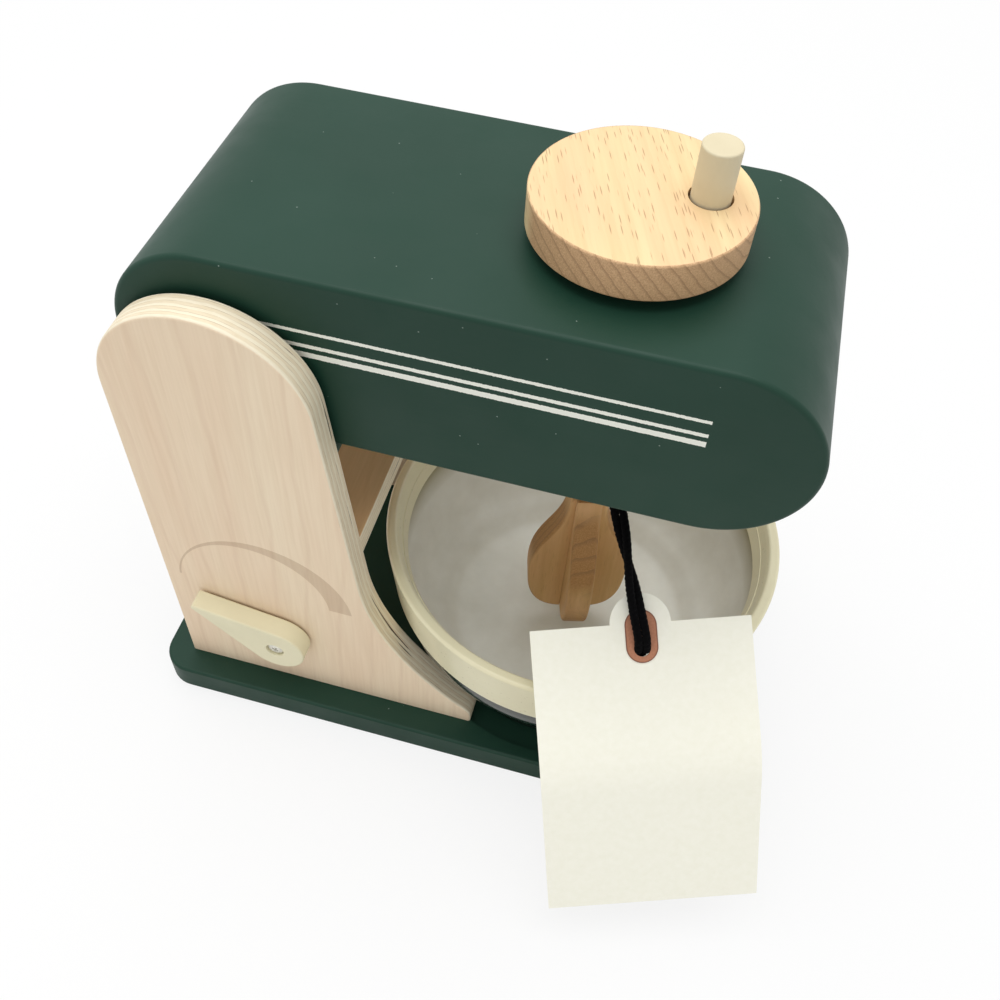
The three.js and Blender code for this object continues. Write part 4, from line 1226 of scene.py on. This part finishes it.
def obround(inset):
    """The head's side view, its ends half round."""
    radius = HEAD_RADIUS - inset
    made = []
    for x, side in ((HEAD_FRONT, 1), (PIVOT_X, -1)):
        z = PIVOT_Z - side * radius
        made += [(PIVOT_X + HEAD_FRONT - x + side, z), (x - side, z)]
        start = -side * math.pi / 2
        made += arc(x, PIVOT_Z, radius, start, start + math.pi, 64)
    return made


for name, low, high, edges, look, replaced in (
    ("near_cheek", -CHEEK_OUTER, -CHEEK_INNER, (CHEEK_EDGE, 0), striped_paint,
     "head_right_cheek"),
    ("far_cheek", CHEEK_INNER, CHEEK_OUTER, (0, CHEEK_EDGE), green_paint, "head_left_cheek"),
):
    bore = circle(PIVOT_X, PIVOT_Z, AXLE_BORE, 40), None, low > 0
    cheek = solid(name, standing(board(obround(0), low, high, *edges, [bore], 6)))
    finish_piece(cheek, look, "head", "green_paint", replaced)

skin = solid("head_shell", standing(board(
    obround(0), -CHEEK_INNER, CHEEK_INNER, pits=[(obround(SKIN_THICKNESS), None, True)])))
shaft_bore = board(circle(SHAFT_X, 0, SHAFT_BORE, 48), BELOW_HEAD, ABOVE_HEAD)
skin = cut_away(skin, solid("bore", shaft_bore))
finish_piece(skin, green_paint, "head", "green_paint", "head_skin")

# %% [markdown]
# ## Crank disc, spacer and peg
# The disc is a slice of beech with crisp edges and a blind hole for the peg. The peg turns
# freely on a screw, so its hole is a little wide and a dark line shows round it.

# %% Crank disc, spacer and peg
PEG_TURN, PEG_OUT = math.radians(11.1), 18.8
PEG_PLACE = SHAFT_X + PEG_OUT * math.cos(PEG_TURN), PEG_OUT * math.sin(PEG_TURN)
DISC_RADIUS, DISC_LOW, DISC_TOP, DISC_EDGES = 32.5, 225.5, 237.5, (0.7, 0.6)
PEG_RADIUS, PEG_LOW, PEG_TOP, PEG_HOLE, PEG_HOLE_DEPTH = 5.8, 229.5, 254, 6.5, 8.3
SPACER_RADIUS, SPACER_TOP = 12, 225.2

disc = solid("disc", board(
    circle(SHAFT_X, 0, DISC_RADIUS, 160), DISC_LOW, DISC_TOP, *DISC_EDGES,
    [(circle(*PEG_PLACE, PEG_HOLE, 48), PEG_HOLE_DEPTH, True)]))
finish_piece(disc, beech_disc, "crank", "beech", "crank_disc")

spacer = turned("spacer", sleeve(SPACER_RADIUS, PIVOT_Z + HEAD_RADIUS, SPACER_TOP, 0.4, 3), nylon,
                centre=ON_SHAFT)
finish_piece(spacer, nylon, "head", "white_nylon", "disc_spacer")

peg = turned("peg", rod(PEG_RADIUS, PEG_LOW, PEG_TOP, (0, 0.6)), peg_paint, centre=PEG_PLACE)
finish_piece(peg, peg_paint, "peg", "cream_paint", "crank_peg")

# %% [markdown]
# ## Shaft, collar and beater
# The shaft hangs through the head and ends in a thinner tenon. A pinned collar keeps it up.
# The beater is two egg-shaped boards that cross: each has a slot for the other, cut here with
# a boolean, because the slot's corners stay sharp while the outside is sanded round.

# %% Shaft and collar
SHAFT_RADIUS, SHAFT_TOP, SHOULDER, TENON_RADIUS, TENON_LOW = 6, 233.5, 105.5, 3.5, 87.5
COLLAR_RADIUS, COLLAR_LOW, COLLAR_TOP = 11, 150.5, 155

shaft = turned("shaft", softened([
    (0, TENON_LOW, 0), (TENON_RADIUS, TENON_LOW, 0.4), (TENON_RADIUS, SHOULDER, 0),
    (SHAFT_RADIUS, SHOULDER, 0.5), (SHAFT_RADIUS, SHAFT_TOP, 0.4), (0, SHAFT_TOP, 0),
]), beech_upright, centre=ON_SHAFT)
finish_piece(shaft, beech_upright, "crank", "beech", "beater_shaft")

collar = turned("collar", sleeve(COLLAR_RADIUS, COLLAR_LOW, COLLAR_TOP, 0.6), beech_disc,
                centre=ON_SHAFT)
finish_piece(collar, beech_disc, "crank", "beech", "shaft_collar")

# %% Beater
BLADE_HALF, BLADE_EDGE, SLOT_HALF, SLOT_REACH = 5, 1.3, 5.15, 8
TENON_BORE, BORE_LOW, BLADE_TURN = 3.65, 87.2, 15
BELOW_BLADES, MEETING, SLOT_PLAY, ABOVE_BLADES = 20, 56, 0.15, 110


def blade_outline():
    low, wide, top, half, neck, tip = 31, 56, 105.2, 20, 7, 4.5
    lower_pull, upper_pull = (low + wide) / 2, (wide + top) / 2
    right = bezier((tip, low), (half - tip / 2, low), (half, lower_pull), (half, wide), 20)
    right += bezier((half, wide), (half, upper_pull), (neck, upper_pull), (neck, top), 24)
    return [(tip, low), *right, *((-x, y) for x, y in reversed(right)), (-tip, low)]


def blade(name, angle, slot_low, slot_high, replaced, bored):
    """A blade with a slot for the other one and, in the upper one, a bore for the tenon."""
    made = solid(name, standing(board(
        blade_outline(), -BLADE_HALF, BLADE_HALF, BLADE_EDGE, BLADE_EDGE, steps=6)))
    slot = board(rectangle(-SLOT_HALF, SLOT_HALF, SLOT_REACH), slot_low, slot_high)
    tools = [solid("slot", slot)]
    if bored:
        tools.append(solid("bore", board(circle(0, 0, TENON_BORE, 32), BORE_LOW, ABOVE_BLADES)))
    made = cut_away(made, *tools)
    made.data.transform(Matrix.Translation((SHAFT_X * MM, 0, 0)) @ Matrix.Rotation(
        math.radians(angle), 4, "Z"))
    finish_piece(made, beech_upright, "crank", "beech", replaced)


blade("upper_blade", BLADE_TURN, BELOW_BLADES, MEETING + SLOT_PLAY, "beater_blade_upper", True)
blade("lower_blade", BLADE_TURN + 90, MEETING - SLOT_PLAY, ABOVE_BLADES, "beater_blade_lower",
      False)

# %% [markdown]
# ## Bowl
# The bowl is turned: a shell with a rounded foot, and a thicker ring that caps its edge. The
# inside and outside of the shell get different lacquers, chosen face by face: a face that
# looks towards the bowl's axis, or up from its floor, is inside.

# %% Bowl shell
PROFILE_STEPS, BOWL_FLOOR, LOOKING_IN, LOOKING_UP = 6, 19.5, -0.05, 0.3


def curved(*points):
    """A profile that runs smoothly through points."""
    points = [Vector(point) for point in points]
    line = catmull_rom([points[0], *points, points[-1]], 0, lambda length: PROFILE_STEPS)
    return [tuple(point) for point in line]


outside = curved((55.6, 12.4), (56.2, 17), (57.1, 22), (60.9, 28.2), (64.8, 34), (68.7, 42),
                 (72.2, 50), (73.2, 58), (73.3, 66), (73.3, 78))
inside = curved((70.7, 78), (70.7, 68), (70.4, 60), (67.2, 50), (62.2, 36.6), (58.6, 31),
                (54.5, 27.2), (51.4, 23.6), (48.6, 21), (45, 20.05), (41, 20))
foot = [(0, 13.3), (48.6, 13.3), (50.6, 11.3), (54.8, 11.3)]
shell = turned("bowl_body", [*foot, *outside, *inside, (0, 20)], bowl_outside, 128, ON_SHAFT)
finish_piece(shell, bowl_outside, "bowl", "green_lacquer", "bowl_shell")
shell.data.materials.append(bowl_inside)
axis = Vector((SHAFT_X * MM, 0, 0))
for face in shell.data.polygons:
    outward = face.center - axis
    outward.z = 0
    on_wall = face.normal.dot(outward.normalized()) < LOOKING_IN
    on_floor = face.normal.z > LOOKING_UP and face.center.z > BOWL_FLOOR * MM
    face.material_index = int(on_wall or on_floor)
print("faces inside the bowl:", sum(face.material_index for face in shell.data.polygons))

# %% Bowl rim
rim = turned("bowl_lip", softened([
    (73.45, 60, 0), (74.8, 60, 0.5), (77, 82.6, 0), (77, 84, 1.3), (73.2, 84, 1.3),
    (72.1, 82, 0.8), (68.6, 72, 0.6), (70.55, 72, 0), (70.55, 78.3, 0), (73.45, 78.3, 0),
    (73.45, 60, 0),
], 6), rim_lacquer, 128, ON_SHAFT)
finish_piece(rim, rim_lacquer, "bowl", "cream_lacquer", "bowl_rim")

# %% [markdown]
# ## Swing tag
# The tag is one piece of card with a round tab at the top. It is bent once, softly, across its
# middle. The flat outline is cut into rows and each row is carried round the bend, and a
# Solidify modifier then gives the card its thickness.

# %% Card
FOLD, HALF_FOLD, BEND, BEND_ROWS = -40.5, 9.0, math.radians(26), 12
TAG_HALF, TAG_LOW, TAB_Y, TAB_RADIUS = 38, -101.1, 8.5, 10.5
TAG_HOLE, TAG_THICKNESS = 2.95, 0.8


def tag_outline():
    points = [(-TAG_HALF, TAG_LOW), (TAG_HALF, TAG_LOW), (TAG_HALF, TAB_Y), (TAB_RADIUS, TAB_Y)]
    points += arc(0, TAB_Y, TAB_RADIUS, 0, math.pi, 32)[1:]
    return [*points, (-TAG_HALF, TAB_Y)]


def bent(point):
    """Carries a point of the flat card round the bend."""
    x, y, z = point
    start = FOLD + HALF_FOLD
    if y >= start:
        return Vector((x, y, z))
    run = start - y
    radius = 2 * HALF_FOLD / BEND
    angle = min(run / radius, BEND)
    rest = max(run - 2 * HALF_FOLD, 0)
    y = start - radius * math.sin(angle) - rest * math.cos(angle)
    z = -radius * (1 - math.cos(angle)) - rest * math.sin(angle)
    return Vector((x, y, z))


def card_mesh():
    mesh = bmesh.new()
    shapes = tag_outline(), circle(0, 0, TAG_HOLE, 32)
    filled(mesh, [ring_at(mesh, shape, 0) for shape in shapes])
    for row in range(-1, BEND_ROWS + 2):
        height = FOLD + HALF_FOLD - 2 * HALF_FOLD * row / BEND_ROWS
        planed(mesh, (0, height, 0), (0, 1, 0))
    for vert in mesh.verts:
        vert.co = bent(vert.co)
    return mesh


tag = solid("tag", card_mesh())
for face in tag.data.polygons:
    if face.normal.z < 0:
        face.flip()
thickness = tag.modifiers.new("card thickness", "SOLIDIFY")
thickness.thickness = TAG_THICKNESS * MM
thickness.offset = 0
tag = settled(tag)
tag.data.transform(tag_place)
finish_piece(tag, card, "head", "card", "hang_tag")

# %% Patch
PATCH_UNDER, PATCH_TOP, PATCH_EDGE, PATCH_HOLE = 0.45, 0.9, 0.12, 2.9

patch_outline = arc(0, PATCH_HIGH, PATCH_RADIUS, 0, math.pi, 24)
patch_outline += arc(0, PATCH_LOW, PATCH_RADIUS, math.pi, 2 * math.pi, 24)
patch_mesh = board(patch_outline, PATCH_UNDER, PATCH_TOP, 0, PATCH_EDGE,
                   [(circle(0, 0, PATCH_HOLE, 32), None, True)], 2)
flat_map = patch_mesh.loops.layers.uv.new("flat")
for face in patch_mesh.faces:
    for corner in face.loops:
        corner[flat_map].uv = corner.vert.co.xy / UV_UNIT
patch = solid("patch", patch_mesh)
patch.data.transform(tag_place)
finish_piece(patch, patch_look(), "head", "tan_print", "tag_patch")

# %% [markdown]
# ## Finishing the cord
# The cord and its knot are soft yarn; they are shaded smooth up to a steeper angle than the rest.

# %% Finish the cord and knot
finish_piece(tag_cord, black_yarn, "head", "black_yarn", "tag_cord", sharp=80)
finish_piece(knot, black_yarn, "head", "black_yarn", "cord_knot", sharp=80)

# %% [markdown]
# ## Parts inside the head and panels
# The axle, bushes, washers, blocks and small fasteners keep their CAD shapes, because they
# are plain and mostly hidden. They get real materials.

# %% Hidden parts
def refinished(look, *names):
    """Gives CAD nodes a real material."""
    for name in names:
        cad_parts[name].material_slots[0].material = look
    print(look.name, "goes on", *names)


refinished(steel, "pivot_axle", "collar_pin", "peg_screw")
refinished(brass, "lever_insert")
refinished(nylon, "right_pivot_washer", "left_pivot_washer", "right_pivot_bush",
           "left_pivot_bush", "upper_shaft_bush", "lower_shaft_bush", "lever_washer")
refinished(beech_crosswise, "pivot_block", "bearing_block")

# %% [markdown]
# ## Size
# The dressed mixer should fill the same box as the CAD model; both boxes are printed.

# %% Size
visual_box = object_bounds()
for label, (low, high) in (("CAD", cad_box), ("visual", visual_box)):
    print(label, [round(v * 1000, 2) for v in low], [round(v * 1000, 2) for v in high])
